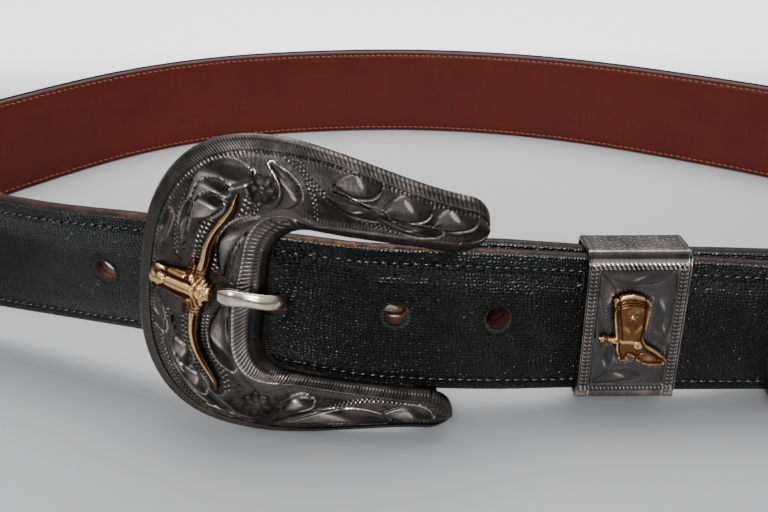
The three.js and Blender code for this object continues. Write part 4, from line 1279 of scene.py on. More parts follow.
# Buckle
def arm_edge(u):
    share = (u - SHOULDER_U) / (NOSE_U - SHOULDER_U)
    eased = 0.6 * share * share * (3 - 2 * share) + 0.4 * share ** 1.3
    return lerp(BUCKLE_HALF_HEIGHT, NOSE_V + NOSE_RADIUS, eased)


def opening_edge(share):
    arc = OPENING_CORNER * math.pi / 2
    straight = OPENING_HALF - OPENING_CORNER
    walked = share * (arc + straight)
    turn = np.minimum(walked, arc) / OPENING_CORNER
    u = OPENING_LEFT + OPENING_CORNER * (1 - np.sin(turn))
    v = straight + OPENING_CORNER * np.cos(turn)
    past = walked > arc
    return np.where(past, OPENING_LEFT, u), np.where(past, straight - (walked - arc), v)


def half_rows(power, nose_rows, arm_rows, bow_rows):
    """Outer and inner edge of the buckle, from the nose of an arm to the middle of the bow."""
    turn = np.radians(np.linspace(0, 90, nose_rows + 1))
    u = NOSE_U + NOSE_RADIUS * np.cos(turn)
    rise = NOSE_RADIUS * np.sin(turn)
    outer = [np.column_stack((u, NOSE_V + rise))]
    inner = [np.column_stack((u, NOSE_V - rise))]
    share = np.arange(1, arm_rows + 1) / arm_rows
    outer_u = lerp(NOSE_U, SHOULDER_U, share)
    inner_u = lerp(NOSE_U, OPENING_LEFT + OPENING_CORNER, share)
    outer.append(np.column_stack((outer_u, arm_edge(outer_u))))
    inner.append(np.column_stack((inner_u, np.full(arm_rows, OPENING_HALF))))
    share = np.arange(1, bow_rows + 1) / bow_rows
    turn = share * math.pi / 2
    bow_u = SHOULDER_U - (SHOULDER_U - BUCKLE_LEFT) * np.sin(turn) ** (2 / power)
    bow_v = BUCKLE_HALF_HEIGHT * np.maximum(np.cos(turn), 0) ** (2 / power)
    outer.append(even_walk(np.column_stack((bow_u, bow_v)), outer[-1][-1]))
    inner.append(np.column_stack(opening_edge(share)))
    return np.concatenate(outer), np.concatenate(inner)


def even_walk(line, before):
    """The same curve with its points spread evenly along it."""
    dense = np.concatenate((before[None], line))
    walked = walked_along(dense)
    even = np.linspace(0, walked[-1], len(line) + 1)[1:]
    return np.column_stack([np.interp(even, walked, dense[:, k]) for k in (0, 1)])


def horseshoe_rows(nose_rows, arm_rows, bow_rows):
    """Edges of the whole horseshoe: upper nose, bow, lower nose."""
    upper_out, upper_in = half_rows(UPPER_POWER, nose_rows, arm_rows, bow_rows)
    lower_out, lower_in = half_rows(LOWER_POWER, nose_rows, arm_rows, bow_rows)
    flip = np.array((1, -1))
    outer = np.concatenate((upper_out, (lower_out * flip)[-2::-1]))
    inner = np.concatenate((upper_in, (lower_in * flip)[-2::-1]))
    return outer, inner


def rope_shape(share):
    return np.where(share >= 1, 0.0, np.sin(math.pi * np.clip(share, 0, 1)) ** 0.5)


def crown_height(u, from_outer, width, swell=1.0):
    scale = np.minimum(1, width / (2 * NOSE_RADIUS))
    border = np.maximum(ROPE_BORDER * scale, 1e-6)
    height = CROWN_RISE - (u - BAR_U / 8) ** 2 / WAIST_CURVE
    middle = np.clip((from_outer - border) / np.maximum(width - 2 * border, 1e-6), 0, 1)
    fall = np.minimum(1, 1.5 * from_outer / np.maximum(width, 1e-6))
    height = height - OUTER_FALL * (1 - np.sin(math.pi / 2 * fall))
    height = height + FIELD_SWELL * np.sin(math.pi * middle) * scale
    for away in (from_outer, width - from_outer):
        height = height + swell * ROPE_SWELL * rope_shape(away / border) * scale
    return height


def front_at(u, v):
    """Height of the buckle's front under points, for what is seated on it."""
    u, v = np.atleast_1d(u).astype(float), np.atleast_1d(v).astype(float)
    best, height = np.full(u.shape, 1e9), np.zeros(u.shape)
    for power, side in ((UPPER_POWER, v > 0), (LOWER_POWER, v <= 0)):
        outer, inner = half_rows(power, 5, 30, 60)
        for o, i in zip(outer[1:], inner[1:]):
            across = i - o
            width = np.linalg.norm(across)
            x, y = u - o[0], np.abs(v) - o[1]
            walked = np.clip((x * across[0] + y * across[1]) / width, 0, width)
            far = np.hypot(x - across[0] * walked / width, y - across[1] * walked / width)
            nearer = side & (far < best)
            best = np.where(nearer, far, best)
            height = np.where(nearer, crown_height(u, walked, width), height)
    return height


def horn_bend(across):
    """How far the horns lie to the right of and below their plain way."""
    upper = 1.3 * smooth_step(2.5, 9, across) * smooth_step(25.5, 18, across)
    lower = smooth_step(-15, -26, across)
    return upper + 1.0 * lower, -1.1 * lower


def horn_line(side):
    rows = [(along, side * out) for along, out, _ in HORN_WAY]
    line = smooth_line(rows)
    turn = math.radians(LONGHORN_TURN)
    along, out = line[:, 0], line[:, 1]
    right, up = horn_bend(out)
    return np.column_stack((LONGHORN_U + along * math.cos(turn) - out * math.sin(turn) + right,
                            LONGHORN_V + along * math.sin(turn) + out * math.cos(turn) + up))


def border_width(u, v, width, inner):
    """Width of the cut border beside an edge; it narrows along the arms."""
    if inner:
        wide = lerp(lerp(8.1, 7.0, smooth_step(-4, 6, v)), 3.2, smooth_step(-8, 2, u))
        wide = wide - 1.0 * smooth_step(-6, 2, u) * (v > 0)
    else:
        wide = lerp(3.5, 2.5, smooth_step(-14, 4, u))
    return np.maximum(wide * np.minimum(1, width / (2 * NOSE_RADIUS)), 1e-6)


def edge_drop(u, from_outer, width):
    """How far the front falls towards both edges; the opening's edge is rolled over."""
    small = np.clip(width / 6, 0, 1)
    outer = EDGE_DROP * np.clip(1 - from_outer / 0.95, 0, 1) ** 1.6
    reach = lerp(3.4, 1.5, smooth_step(-6, 6, u))
    share = np.clip(1 - (width - from_outer) / reach, 0, 1)
    inner = lerp(2.5, 1.5, smooth_step(0, 10, u)) * (1 - np.sqrt(np.clip(1 - share ** 2, 0, 1)))
    return (outer + inner) * small


def buckle_engraving(u, v, from_outer, width, walked):
    relief = Engraving(u, v, BUCKLE_SEED)
    outer_border, inner_border = border_width(u, v, width, False), border_width(u, v, width, True)
    for row in BUCKLE_LEAVES:
        relief.leaf(row)
    for row in BUCKLE_FLOWERS:
        relief.flower(*row)
    for line in BEAD_ROWS:
        relief.beads(smooth_line(line))
    # Rows of cuts on both sides of the horns
    for side in (1, -1):
        far, along, _ = line_distance(u, v, horn_line(side))
        for reach in (2.2, 3.1):
            band = bell(far - reach, 0.4) * smooth_step(3.5, 5.5, along)
            bead = pearls(along, 1.1, 2.2 * reach)
            relief.put(band * relief.free, -0.35 + 0.4 * bead, 0.05 + 0.85 * bead)
    # Hatched fans beside both borders, where nothing else is cut
    for away, border in ((from_outer, outer_border), (width - from_outer, inner_border)):
        near = smooth_step(2.4, 1.5, away - border) * smooth_step(0.2, 0.5, away - border)
        relief.hatch(near * 0.7, walked + away * 0.35)
    for line in CUT_LINES:
        relief.cut(smooth_line(line))
    # A bead row and a plain line inside the outer border
    line = bell(from_outer - outer_border - 0.1, 0.16)
    relief.height = relief.height + 0.16 * line
    relief.shine = np.clip(relief.shine + 0.5 * line, 0, 1)
    beads = bell(from_outer - outer_border - 0.75, 0.34)
    bead = pearls(walked, 1.1)
    relief.put(beads, -0.25 + 0.38 * bead, 0.06 + 0.6 * bead)
    # Darker along the upper arm and lighter towards the left: painted shade and painted highlight, placed
    # for one light
    painted_shade_upper = smooth_step(18, 27, v) * smooth_step(-20, -12, u)
    relief.shine = relief.shine * lerp(1, 0.4 + 0.6 * smooth_step(0.6, 0.9, relief.shine), painted_shade_upper)
    relief.shine = np.clip(relief.shine + 0.12 * smooth_step(-24, -32, u), 0, 1)
    inside = smooth_step(0.0, 0.5, from_outer - outer_border)
    inside = inside * smooth_step(0.0, 0.5, width - from_outer - inner_border)
    bare_and_painted_light = lerp(0.05, 0.25, smooth_step(0.8, 1.6, from_outer - outer_border))
    # Lighter at the lower left beside the borders: painted light
    bare_and_painted_light = np.maximum(bare_and_painted_light, 0.24 * smooth_step(14, -6, v) * smooth_step(0, -14, u))
    return relief.height * inside, lerp(bare_and_painted_light, relief.shine, inside)


def part_way(outer, inner, shares):
    """Places at shares of the way from each point of one edge to its fellow on the other."""
    return outer[:, None] + (inner - outer)[:, None] * shares[None, :, None]


def closed_sheet(name, spot, height, shine, back_spot, back_height, back_shine):
    """A sheet of the buckle with its front and, evenly polished, its back."""
    front = in_belt(spot[..., 0], spot[..., 1], height)
    back = in_belt(back_spot[..., 0], back_spot[..., 1], back_height)
    points = np.concatenate((front, back, front[:, :1]), axis=1)
    shine = np.concatenate((shine, np.full(back_height.shape, back_shine), shine[:, :1]), axis=1)
    return grid_piece(name, points, marks={"shine": shine})


def buckle_shell():
    outer, inner = horseshoe_rows(*SHELL_ROWS)
    width = np.linalg.norm(inner - outer, axis=1)[:, None]
    steps = np.concatenate((np.linspace(0, 0.12, 6), np.linspace(0.12, 0.88, 68)[1:],
                            np.linspace(0.88, 1, 6)[1:]))
    from_outer = steps[None, :] * width
    spot = part_way(outer, inner, steps)
    u, v = spot[..., 0], spot[..., 1]
    walked = np.broadcast_to(walked_along(outer)[:, None], u.shape)
    relief, shine = buckle_engraving(u, v, from_outer, width, walked)
    small = np.clip(width / 6, 0, 1)
    height = crown_height(u, from_outer, width, swell=0.2) + relief * small - edge_drop(u, from_outer, width)
    back_steps = np.array((0.985, 0.94, 0.5, 0.06, 0.015))
    back_spot = part_way(outer, inner, back_steps)
    back_height = crown_height(back_spot[..., 0], back_steps[None, :] * width, width) - SHELL_WALL * small
    back_height[:, 0] = back_height[:, 0] - 0.5
    return closed_sheet("buckle_shell", spot, height, shine, back_spot, back_height, 0.35)


def rope_strip(name, from_inner, rows):
    """Border of slanted cuts, a closed half round laid on the shell's edge."""
    outer, inner = horseshoe_rows(*rows)
    width = np.linalg.norm(inner - outer, axis=1)[:, None]
    edge, other = (inner, outer) if from_inner else (outer, inner)
    u, v = edge[:, :1], edge[:, 1:]
    border = border_width(u, v, width, from_inner)
    share = np.linspace(0.015, 0.97, 20 if from_inner else 10)[None, :]
    away = share * border
    from_outer = width - away if from_inner else away
    direction = (other - edge) / np.maximum(width, 1e-6)
    spot = edge[:, None] + direction[:, None] * away[..., None]
    # Fine cuts round the bow and coarser teeth along the upper arm; rope beside the opening
    arm = smooth_step(-14, 6, u)
    upper = smooth_step(-4, 10, v)
    pitch = 0.86 - 0.06 * arm if from_inner else lerp(0.74, 1.16, arm * upper)
    steps = np.concatenate(([0], np.linalg.norm(np.diff(edge, axis=0), axis=1)))[:, None]
    lean = -border * (1.5 - 0.7 * share) * smooth_step(0, -6, u) if from_inner else 0.9
    phase = np.cumsum(steps / pitch, axis=0) + lean * share
    ridge = np.abs(np.sin(math.pi * phase)) ** 0.6
    small = np.clip(width / 8, 0, 1)
    fade = smooth_step(1.0, 0.8, share)
    swell = lerp(1.0, 0.35, smooth_step(-4, 8, u)) if from_inner else 0.35
    depth = lerp(0.4, 0.2, smooth_step(-4, 8, u)) if from_inner else lerp(0.14, 0.3, arm * upper)
    height = crown_height(spot[..., 0], from_outer, width)
    height = height - edge_drop(spot[..., 0], from_outer, width)
    height = height - (1 - swell) * ROPE_SWELL * rope_shape(share) * small
    height = height + (0.1 - depth * (1 - ridge) * fade) * small
    if from_inner:
        # The rope is darker towards the opening's rolled edge, along the arms and at the top, and lighter at
        # the bow and low down: painted shade and painted highlight, for one light
        shaded_edge_share = lerp(0.42, 0.22, smooth_step(-6, 4, v)) * smooth_step(2, -6, u)
        bright = lerp(0.9, 0.2, smooth_step(-4, 4, u))
        bright = bright * smooth_step(shaded_edge_share, shaded_edge_share + 0.16, share)
        bright = bright * lerp(1, 0.2, smooth_step(8, 17, v))
        bright = bright * lerp(0.62, 1, smooth_step(2, -16, v))
        shine = bright * ridge * (0.5 + 0.5 * np.sin(math.pi * share)) + 0.7 * bell(share - 0.95, 0.035)
    else:
        shine = ridge * lerp(lerp(0.2, 0.1, upper), 0.24, arm * upper) * (0.2 + 0.8 * share)
        # A thin bright line right at the outer edge: painted highlight
        shine = shine + 0.4 * bell(share, 0.04)
        shine = shine + 0.15 * arm * upper * smooth_step(0.35, 0.1, share) * ridge
        # Lighter at the lower left: painted light
        painted_light_low_left = np.maximum(0.26 * smooth_step(14, -6, v), 0.18 * smooth_step(-14, -28, u))
        shine = shine + painted_light_low_left * (1 - arm)
    under = np.array((0.9, 0.5, 0.1))
    below = edge[:, None] + direction[:, None] * (under[None, :] * border)[..., None]
    below_outer = width - under * border if from_inner else under * border
    below_height = crown_height(below[..., 0], below_outer, width, swell=0.2) - 1.1 * small
    below_height = below_height - 0.5 * edge_drop(below[..., 0], below_outer, width)
    return closed_sheet(name, spot, height, np.clip(shine, 0, 1), below, below_height, 0.0)


def buckle_bar():
    """Round bar with its two lugs, soldered behind the arms."""
    long = 2 * (LUG_INNER + LUG_THICK / 2)
    bar = made_by(bpy.ops.mesh.primitive_cylinder_add, vertices=28, radius=BAR_RADIUS, depth=long)
    place_in_buckle(bar, (BAR_U, 0, BAR_P))
    pieces = [bar]
    depth = LUG_ROOT - (BAR_P - BAR_RADIUS - LUG_OVER)
    for side in (1, -1):
        lug = made_by(bpy.ops.mesh.primitive_cube_add, size=1)
        lug.scale = (LUG_LONG, depth, LUG_THICK)
        bpy.ops.object.transform_apply(location=False, rotation=False, scale=True)
        apply_modifier(lug, "BEVEL", width=0.6, segments=3, limit_method="ANGLE")
        place_in_buckle(lug, (BAR_U, side * (LUG_INNER + LUG_THICK / 2), LUG_ROOT - depth / 2))
        pieces.append(lug)
    bar = join_pieces(pieces, "buckle_bar")
    set_mark(bar, "shine", np.full(len(bar.data.vertices), 0.4))
    bpy.ops.object.shade_smooth_by_angle(angle=math.radians(40))
    return bar


def place_in_buckle(piece, where):
    """Moves a primitive made in millimetres about its middle to its place in the buckle."""
    x, y, z = raw_vectors(piece).T
    move_vertices(piece, in_belt(where[0] + x, where[1] + z, where[2] - y))


def engraved_buckle(looks):
    parts = [
        buckle_shell(),
        rope_strip("outer_rope", False, OUTER_ROPE_ROWS),
        rope_strip("inner_rope", True, INNER_ROPE_ROWS),
        buckle_bar(),
    ]
    piece = join_pieces(parts, "engraved_buckle")
    finish_piece(piece, engraved_silver("oxidised_silver", looks), ("buckle_frame",))


# Longhorn
def longhorn_relief(looks):
    piece, points, normals = remeshed_node("longhorn_relief", "longhorn_head", 0.2, 4)
    local = (points - BUCKLE_AT) @ BUCKLE_AXES
    u, v, p = local[:, 0], local[:, 2], -local[:, 1]
    turn = math.radians(LONGHORN_TURN)
    along = (u - LONGHORN_U) * math.cos(turn) + (v - LONGHORN_V) * math.sin(turn)
    across = -(u - LONGHORN_U) * math.sin(turn) + (v - LONGHORN_V) * math.cos(turn)
    out = np.abs(across)
    seat = front_at(u, v)
    rise = p - seat
    right, up = horn_bend(across)
    top = smooth_step(0.5, 1.5, rise)
    face = smooth_step(4.4, 3.4, out) * smooth_step(2.2, 1.4, along)
    # Rings at the horns' roots, then a long flat down each horn
    rings = np.abs(np.sin(math.pi * out / 0.95)) ** 0.7
    rings = rings * smooth_step(8.6, 5.2, out) * smooth_step(3.4, 4.4, out)
    change = -0.16 * (1 - rings) * smooth_step(8.6, 5.2, out) * smooth_step(3.4, 4.4, out)
    # A ridge and a groove run along each horn to its tip
    painted_light = np.zeros(len(points))
    for side in (1, -1):
        far, walked, hand = line_distance(u + right, v + up, horn_line(side))
        offset = far * hand * -side
        on_horn = smooth_step(3.5, 6.5, walked) * (side * across > 2) * smooth_step(25.5, 22, walked)
        radius = np.interp(walked, (0, 8, 14, 20, 26), (1.5, 1.5, 1.2, 0.9, 0.5))
        offset = offset / radius
        groove = bell(offset - 0.3, 0.2)
        ridge = bell(offset + 0.25, 0.3)
        change = change + on_horn * radius * (0.22 * ridge - 0.42 * groove)
        # Each horn is lighter along one side and darker beyond its groove: painted highlight and painted
        # shade
        painted_light = painted_light + on_horn * (0.5 * bell(offset + 0.4, 0.45) - 0.3 * bell(offset - 0.85, 0.3))
    # Curls between the horns
    curl = np.sin(1.5 * math.pi * (along - 0.4 * out ** 1.2)) * smooth_step(-4.2, -2.4, along)
    ribs = np.abs(np.sin(math.pi * across / 0.9)) * smooth_step(-1.6, -0.6, along)
    change = change + (0.12 * curl + 0.3 * ribs + 0.4 * bell(np.hypot(along - 0.4, out), 1.7)) * face
    # Long bridge of the nose, hollow cheeks beside it
    bridge = bell(out, 0.9) * smooth_step(-2.6, -4.2, along)
    hollow = bell(out - 1.75, 0.55) * smooth_step(-3.2, -4.6, along) * smooth_step(-13.4, -11.8, along)
    change = change + top * (0.42 * bridge - 0.62 * hollow)
    # Eyes under their brows, nostrils and mouth
    for place, outward, wide, depth in ((-5.1, 2.7, 0.55, -0.45), (-13.1, 1.3, 0.45, -0.6)):
        change = change + depth * bell(np.hypot(along - place, out - outward), wide) * top
    change = change + 0.4 * bell(np.hypot(along + 4.1, out - 2.9), 0.6) * top
    change = change + 0.35 * bell(along + 12.2, 0.5) * bell(out - 1.6, 1.1) * top
    change = change - 0.4 * bell(along + 10.9, 0.28) * top * face
    # The muzzle is lighter along its upper side and upper rim and darker along its lower side: painted
    # highlight and painted shade
    muzzle = smooth_step(-3.2, -4.6, along) * top
    painted_light = painted_light + muzzle * (0.5 * bell(across - 1.0, 0.7) + 0.3 * bell(across - 2.7, 0.35)
                          - 0.3 * bell(across + 1.7, 0.6))
    # Ears with a hollow down the middle
    ear = smooth_step(3.8, 4.6, out) * smooth_step(-3.6, -4.2, along) * smooth_step(-6.6, -6.0, along)
    change = change - 0.35 * ear * bell(along + 5.0, 0.5) * top
    # Flared muzzle, and a short round knob behind the head
    flare = smooth_step(-11.2, -13.6, along) * smooth_step(4, 3, out)
    right = right - 0.3 * np.maximum(along - 0.2, 0) * smooth_step(4, 3, out)
    right, up = right - 0.6 * flare, up + (0.3 * across - 0.5) * flare
    bent = front_at(u + right, v + up) - seat
    shift = np.column_stack((right, -bent, up)) @ BUCKLE_AXES.T
    move_vertices(piece, points + normals * change[:, None] + shift)
    shine = np.clip(0.4 + 2.4 * change + 0.2 * (rise - 1.6) - 0.4 * (1 - top) + painted_light, 0, 1)
    finish_relief(piece, shine, looks, "longhorn_head")


# Prong
def polished_prong(looks):
    line = Spline(PRONG_WAY, measured=3)
    s = np.concatenate((np.linspace(0, 1.2, 6), np.linspace(1.2, line.length, 110)[1:]))
    rows = line.at(s)
    ahead = line.at(np.minimum(s + 0.1, line.length)) - line.at(np.maximum(s - 0.1, 0))
    heading = np.arctan2(ahead[:, 2], ahead[:, 0])
    turn = np.linspace(0, 2 * math.pi, 33)
    power = 0.66
    across = np.sign(np.cos(turn)) * np.abs(np.cos(turn)) ** power
    high = np.sign(np.sin(turn)) * np.abs(np.sin(turn)) ** power
    # The upper corner of the front is worn to a slanting flat that widens to the right
    slope = smooth_step(-17, -8, rows[:, :1]) * 0.55 + 0.1
    high = high[None, :] - slope * np.clip(across, 0, 1)[None, :] * (high > 0)[None, :] * high[None, :]
    half_wide = PRONG_WIDE / 2 * rows[:, 3:4]
    half_thick = PRONG_THICK / 2 * rows[:, 4:5]
    up = high * half_thick
    u = rows[:, 0:1] - up * np.sin(heading)[:, None]
    v = rows[:, 1:2] + across[None, :] * half_wide
    p = rows[:, 2:3] + up * np.cos(heading)[:, None]
    tongue = grid_piece("tongue", with_end_caps(in_belt(u, v, p)), smooth_angle=80)
    turn = np.linspace(0, 2 * math.pi, 49)[:, None]
    inner = BAR_RADIUS + FIT_GAP
    section = np.array(((inner, -0.38), (inner, 0.38), (inner + 0.15, 0.5), (EYE_RADIUS - 0.25, 0.5),
                        (EYE_RADIUS, 0.38), (EYE_RADIUS, -0.38), (EYE_RADIUS - 0.25, -0.5),
                        (inner + 0.15, -0.5), (inner, -0.38)))
    u = BAR_U + section[None, :, 0] * np.cos(turn)
    p = BAR_P + section[None, :, 0] * np.sin(turn)
    v = EYE_V + section[None, :, 1] * PRONG_WIDE + 0 * turn
    eye = grid_piece("eye", in_belt(u, v, p))
    piece = join_pieces([tongue, eye], "polished_prong")
    finish_piece(piece, polished_silver(looks), ("prong",))


# Keeper
def nearest_to(x, start):
    s = np.arange(start, WAY.length, 0.1)
    return s[np.argmax(WAY.at(s)[:, 0] >= x)]


def keeper_frame():
    seat = strap_frames(nearest_to(KEEPER_AT, WAY.length - 5 * HOLE_PITCH))
    axes = np.column_stack((seat.along[0], -seat.out[0], seat.top[0])) @ turned("Y", -KEEPER_ROLL)
    return axes, seat.place(np.zeros(1), np.zeros(1), np.array([STRAP_WIDTH / 2]))[0]


def keeper_perimeter():
    """Outer and inner walk round the band, starting at the top of the face, going down it."""
    low, high = -KEEPER_HALF + KEEPER_CORNER, KEEPER_HALF - KEEPER_CORNER
    front, back = -KEEPER_FRONT, KEEPER_BACK
    face = np.linspace(high, low, 186)
    points = [(front, z, -1.0, 0.0) for z in face]
    near, far = front + KEEPER_CORNER, back - KEEPER_CORNER
    for centre, start in (((near, low), 180), ((far, low), 270), ((far, high), 0), ((near, high), 90)):
        for turn in np.radians(np.linspace(start, start + 90, 8)):
            c, s = math.cos(turn), math.sin(turn)
            points.append((centre[0] + KEEPER_CORNER * c, centre[1] + KEEPER_CORNER * s, c, s))
        if start == 0:
            for y in np.linspace(far, near, 42)[1:-1]:
                points.append((y, KEEPER_HALF, 0.0, 1.0))
    return closing(np.array(points))


def keeper_relief(x, z):
    """Engraving of the band's face."""
    relief = Engraving(x, z, KEEPER_SEED)
    relief.height = relief.height * 0.4
    relief.shine = 0.3 + 0.25 * relief.shine
    relief.outline = 0.4
    for row in KEEPER_LEAVES:
        relief.leaf(row)
    seat = np.array([(across + BOOT_RIGHT + BOOT_SLANT * up, BOOT_UP + BOOT_TALL * up)
                     for across, up in BOOT_OUTLINE + BOOT_OUTLINE[:1]])
    far, walked, _ = line_distance(x, z, seat)
    for reach in (0.9, 1.6):
        dots = pearls(walked, 0.95, 3 * reach) * bell(far - reach, 0.28)
        dots = dots * (z < 11.4)
        relief.shine = lerp(0.42, relief.shine, 0.6) if reach < 1 else relief.shine
        relief.put(0.8 * dots, 0.15, 0.72)
    height, shine = relief.height * 0.4, relief.shine
    half = KEEPER_LONG / 2
    side = half - np.abs(x)
    top = KEEPER_HALF - KEEPER_CORNER - z
    bottom = KEEPER_HALF - KEEPER_CORNER + z
    # Sunk field, bordered by two rows of slanted dashes at the sides
    field = smooth_step(3.0, 3.4, side) * smooth_step(1.9, 2.4, top) * smooth_step(2.0, 2.5, bottom)
    dash = 0
    for centre, lean in ((1.2, 1), (2.25, -1)):
        mark = pearls(z + lean * 0.4 * (side - centre), 1.12) ** 0.7
        dash = dash + mark * bell(side - centre, 0.4)
    ticks = pearls(x - 0.45 * top, 1.15) ** 0.7
    low_ticks = pearls(x + 0.3 * bottom, 1.02) ** 0.7
    above = ticks * 1.2 * smooth_step(0.1, 0.5, top) * smooth_step(2.2, 1.7, top)
    above = above + low_ticks * bell(bottom - 1.3, 0.5)
    # A bright band along the top of the face: painted highlight; the rounding above it is darkened with
    # painted shade
    band = smooth_step(0.7, 0.2, top) * smooth_step(-0.9, -0.5, top)
    dash = dash * smooth_step(0.2, 0.6, top)
    rounding = smooth_step(-0.6, -1.0, top)
    rim = smooth_step(0.55, 0.3, side)
    frame_height = 0.05 + 0.2 * dash * (1 - rim) + 0.22 * above * (side > 0.6) + 0.34 * rim
    frame_shine = 0.2 + 0.7 * dash * (1 - rim) + 0.85 * above * (side > 0.6) + 0.35 * rim + 0.85 * band
    frame_shine = frame_shine * (1 - 0.95 * rounding) + 0.36 * smooth_step(0.7, 0.3, bottom)
    frame_height = frame_height - 0.6 * smooth_step(1.2, -0.4, top)
    line = bell(side - 3.1, 0.16) * (top > 1) + bell(side - 0.72, 0.12)
    frame_height = frame_height + 0.12 * line
    frame_shine = frame_shine + 0.5 * line * (1 - rounding)
    height = lerp(frame_height, height - 0.3, field)
    shine = lerp(frame_shine, shine, field)
    return height, np.clip(shine, 0, 1)


def keeper_top_relief(x, y):
    """Leaves and a hatched border on the top of the band."""
    middle = (y - (KEEPER_BACK - KEEPER_FRONT) / 2) / 4.2
    inside = smooth_step(1.05, 0.85, np.abs(middle)) * smooth_step(1.4, 2.0, KEEPER_LONG / 2 - np.abs(x))
    curls = np.sin(2.2 * x + 2.4 * np.sin(0.9 * y + 0.8)) * np.cos(1.7 * y + 1.3 * np.sin(0.8 * x))
    fine = 0.5 + 0.5 * np.cos(2 * math.pi * (x + 0.5 * np.abs(middle)) / 0.75)
    edge = bell(KEEPER_LONG / 2 - np.abs(x) - 0.8, 0.4)
    ticks = pearls(y, 0.9)
    height = (0.09 * np.abs(curls) + 0.05 * fine) * inside + 0.12 * edge * ticks
    return height, np.clip(0.46 + (0.5 * np.abs(curls) * fine) * inside + 0.3 * edge * ticks, 0, 1)


def engraved_keeper(looks):
    walk = keeper_perimeter()
    half = KEEPER_LONG / 2
    x = np.concatenate((np.linspace(-half + KEEPER_CHAMFER, -half + KEEPER_SIDE, 24),
                        np.linspace(-half + KEEPER_SIDE, half - KEEPER_SIDE, 84)[1:],
                        np.linspace(half - KEEPER_SIDE, half - KEEPER_CHAMFER, 24)[1:]))[:, None]
    y, z = np.broadcast_arrays(walk[None, :, 0], walk[None, :, 1])
    y, z = np.repeat(y, len(x), axis=0), np.repeat(z, len(x), axis=0)
    xs = np.broadcast_to(x, y.shape)
    face_height, face_shine = keeper_relief(xs, z)
    on_face = smooth_step(-KEEPER_FRONT + 1.4, -KEEPER_FRONT + 0.5, y)
    top_height, top_shine = keeper_top_relief(xs, y)
    on_top = smooth_step(KEEPER_HALF - 0.6, KEEPER_HALF - 0.1, z) * (1 - on_face)
    height = face_height * on_face + top_height * on_top
    shine = 0.25 + (face_shine - 0.25) * on_face + (top_shine - 0.25) * on_top
    outward = np.stack(np.broadcast_arrays(0 * y, walk[:, 2], walk[:, 3]), axis=-1)
    skin = np.stack((xs, y, z), axis=-1) + outward * height[..., None]
    plain = np.stack((0 * y[0], walk[:, 0], walk[:, 1]), axis=-1)
    normal = np.stack((0 * y[0], walk[:, 2], walk[:, 3]), axis=-1)
    rows = [plain - normal * KEEPER_WALL + np.array((side * half, 0, 0)) for side in (-1, 1)]
    rims = [plain - normal * KEEPER_CHAMFER + np.array((side * half, 0, 0)) for side in (-1, 1)]
    local = np.concatenate((rows[0][None], rims[0][None], skin, rims[1][None], rows[1][None], rows[0][None]))
    shine = np.concatenate((np.full((2, y.shape[1]), 0.4), shine, np.full((3, y.shape[1]), 0.4)))
    axes, middle = keeper_frame()
    piece = grid_piece("engraved_keeper", local @ axes.T + middle, marks={"shine": shine}, smooth_angle=50)
    material = engraved_silver("keeper_silver", looks, "keeper")
    finish_piece(piece, material, ("keeper_band",))


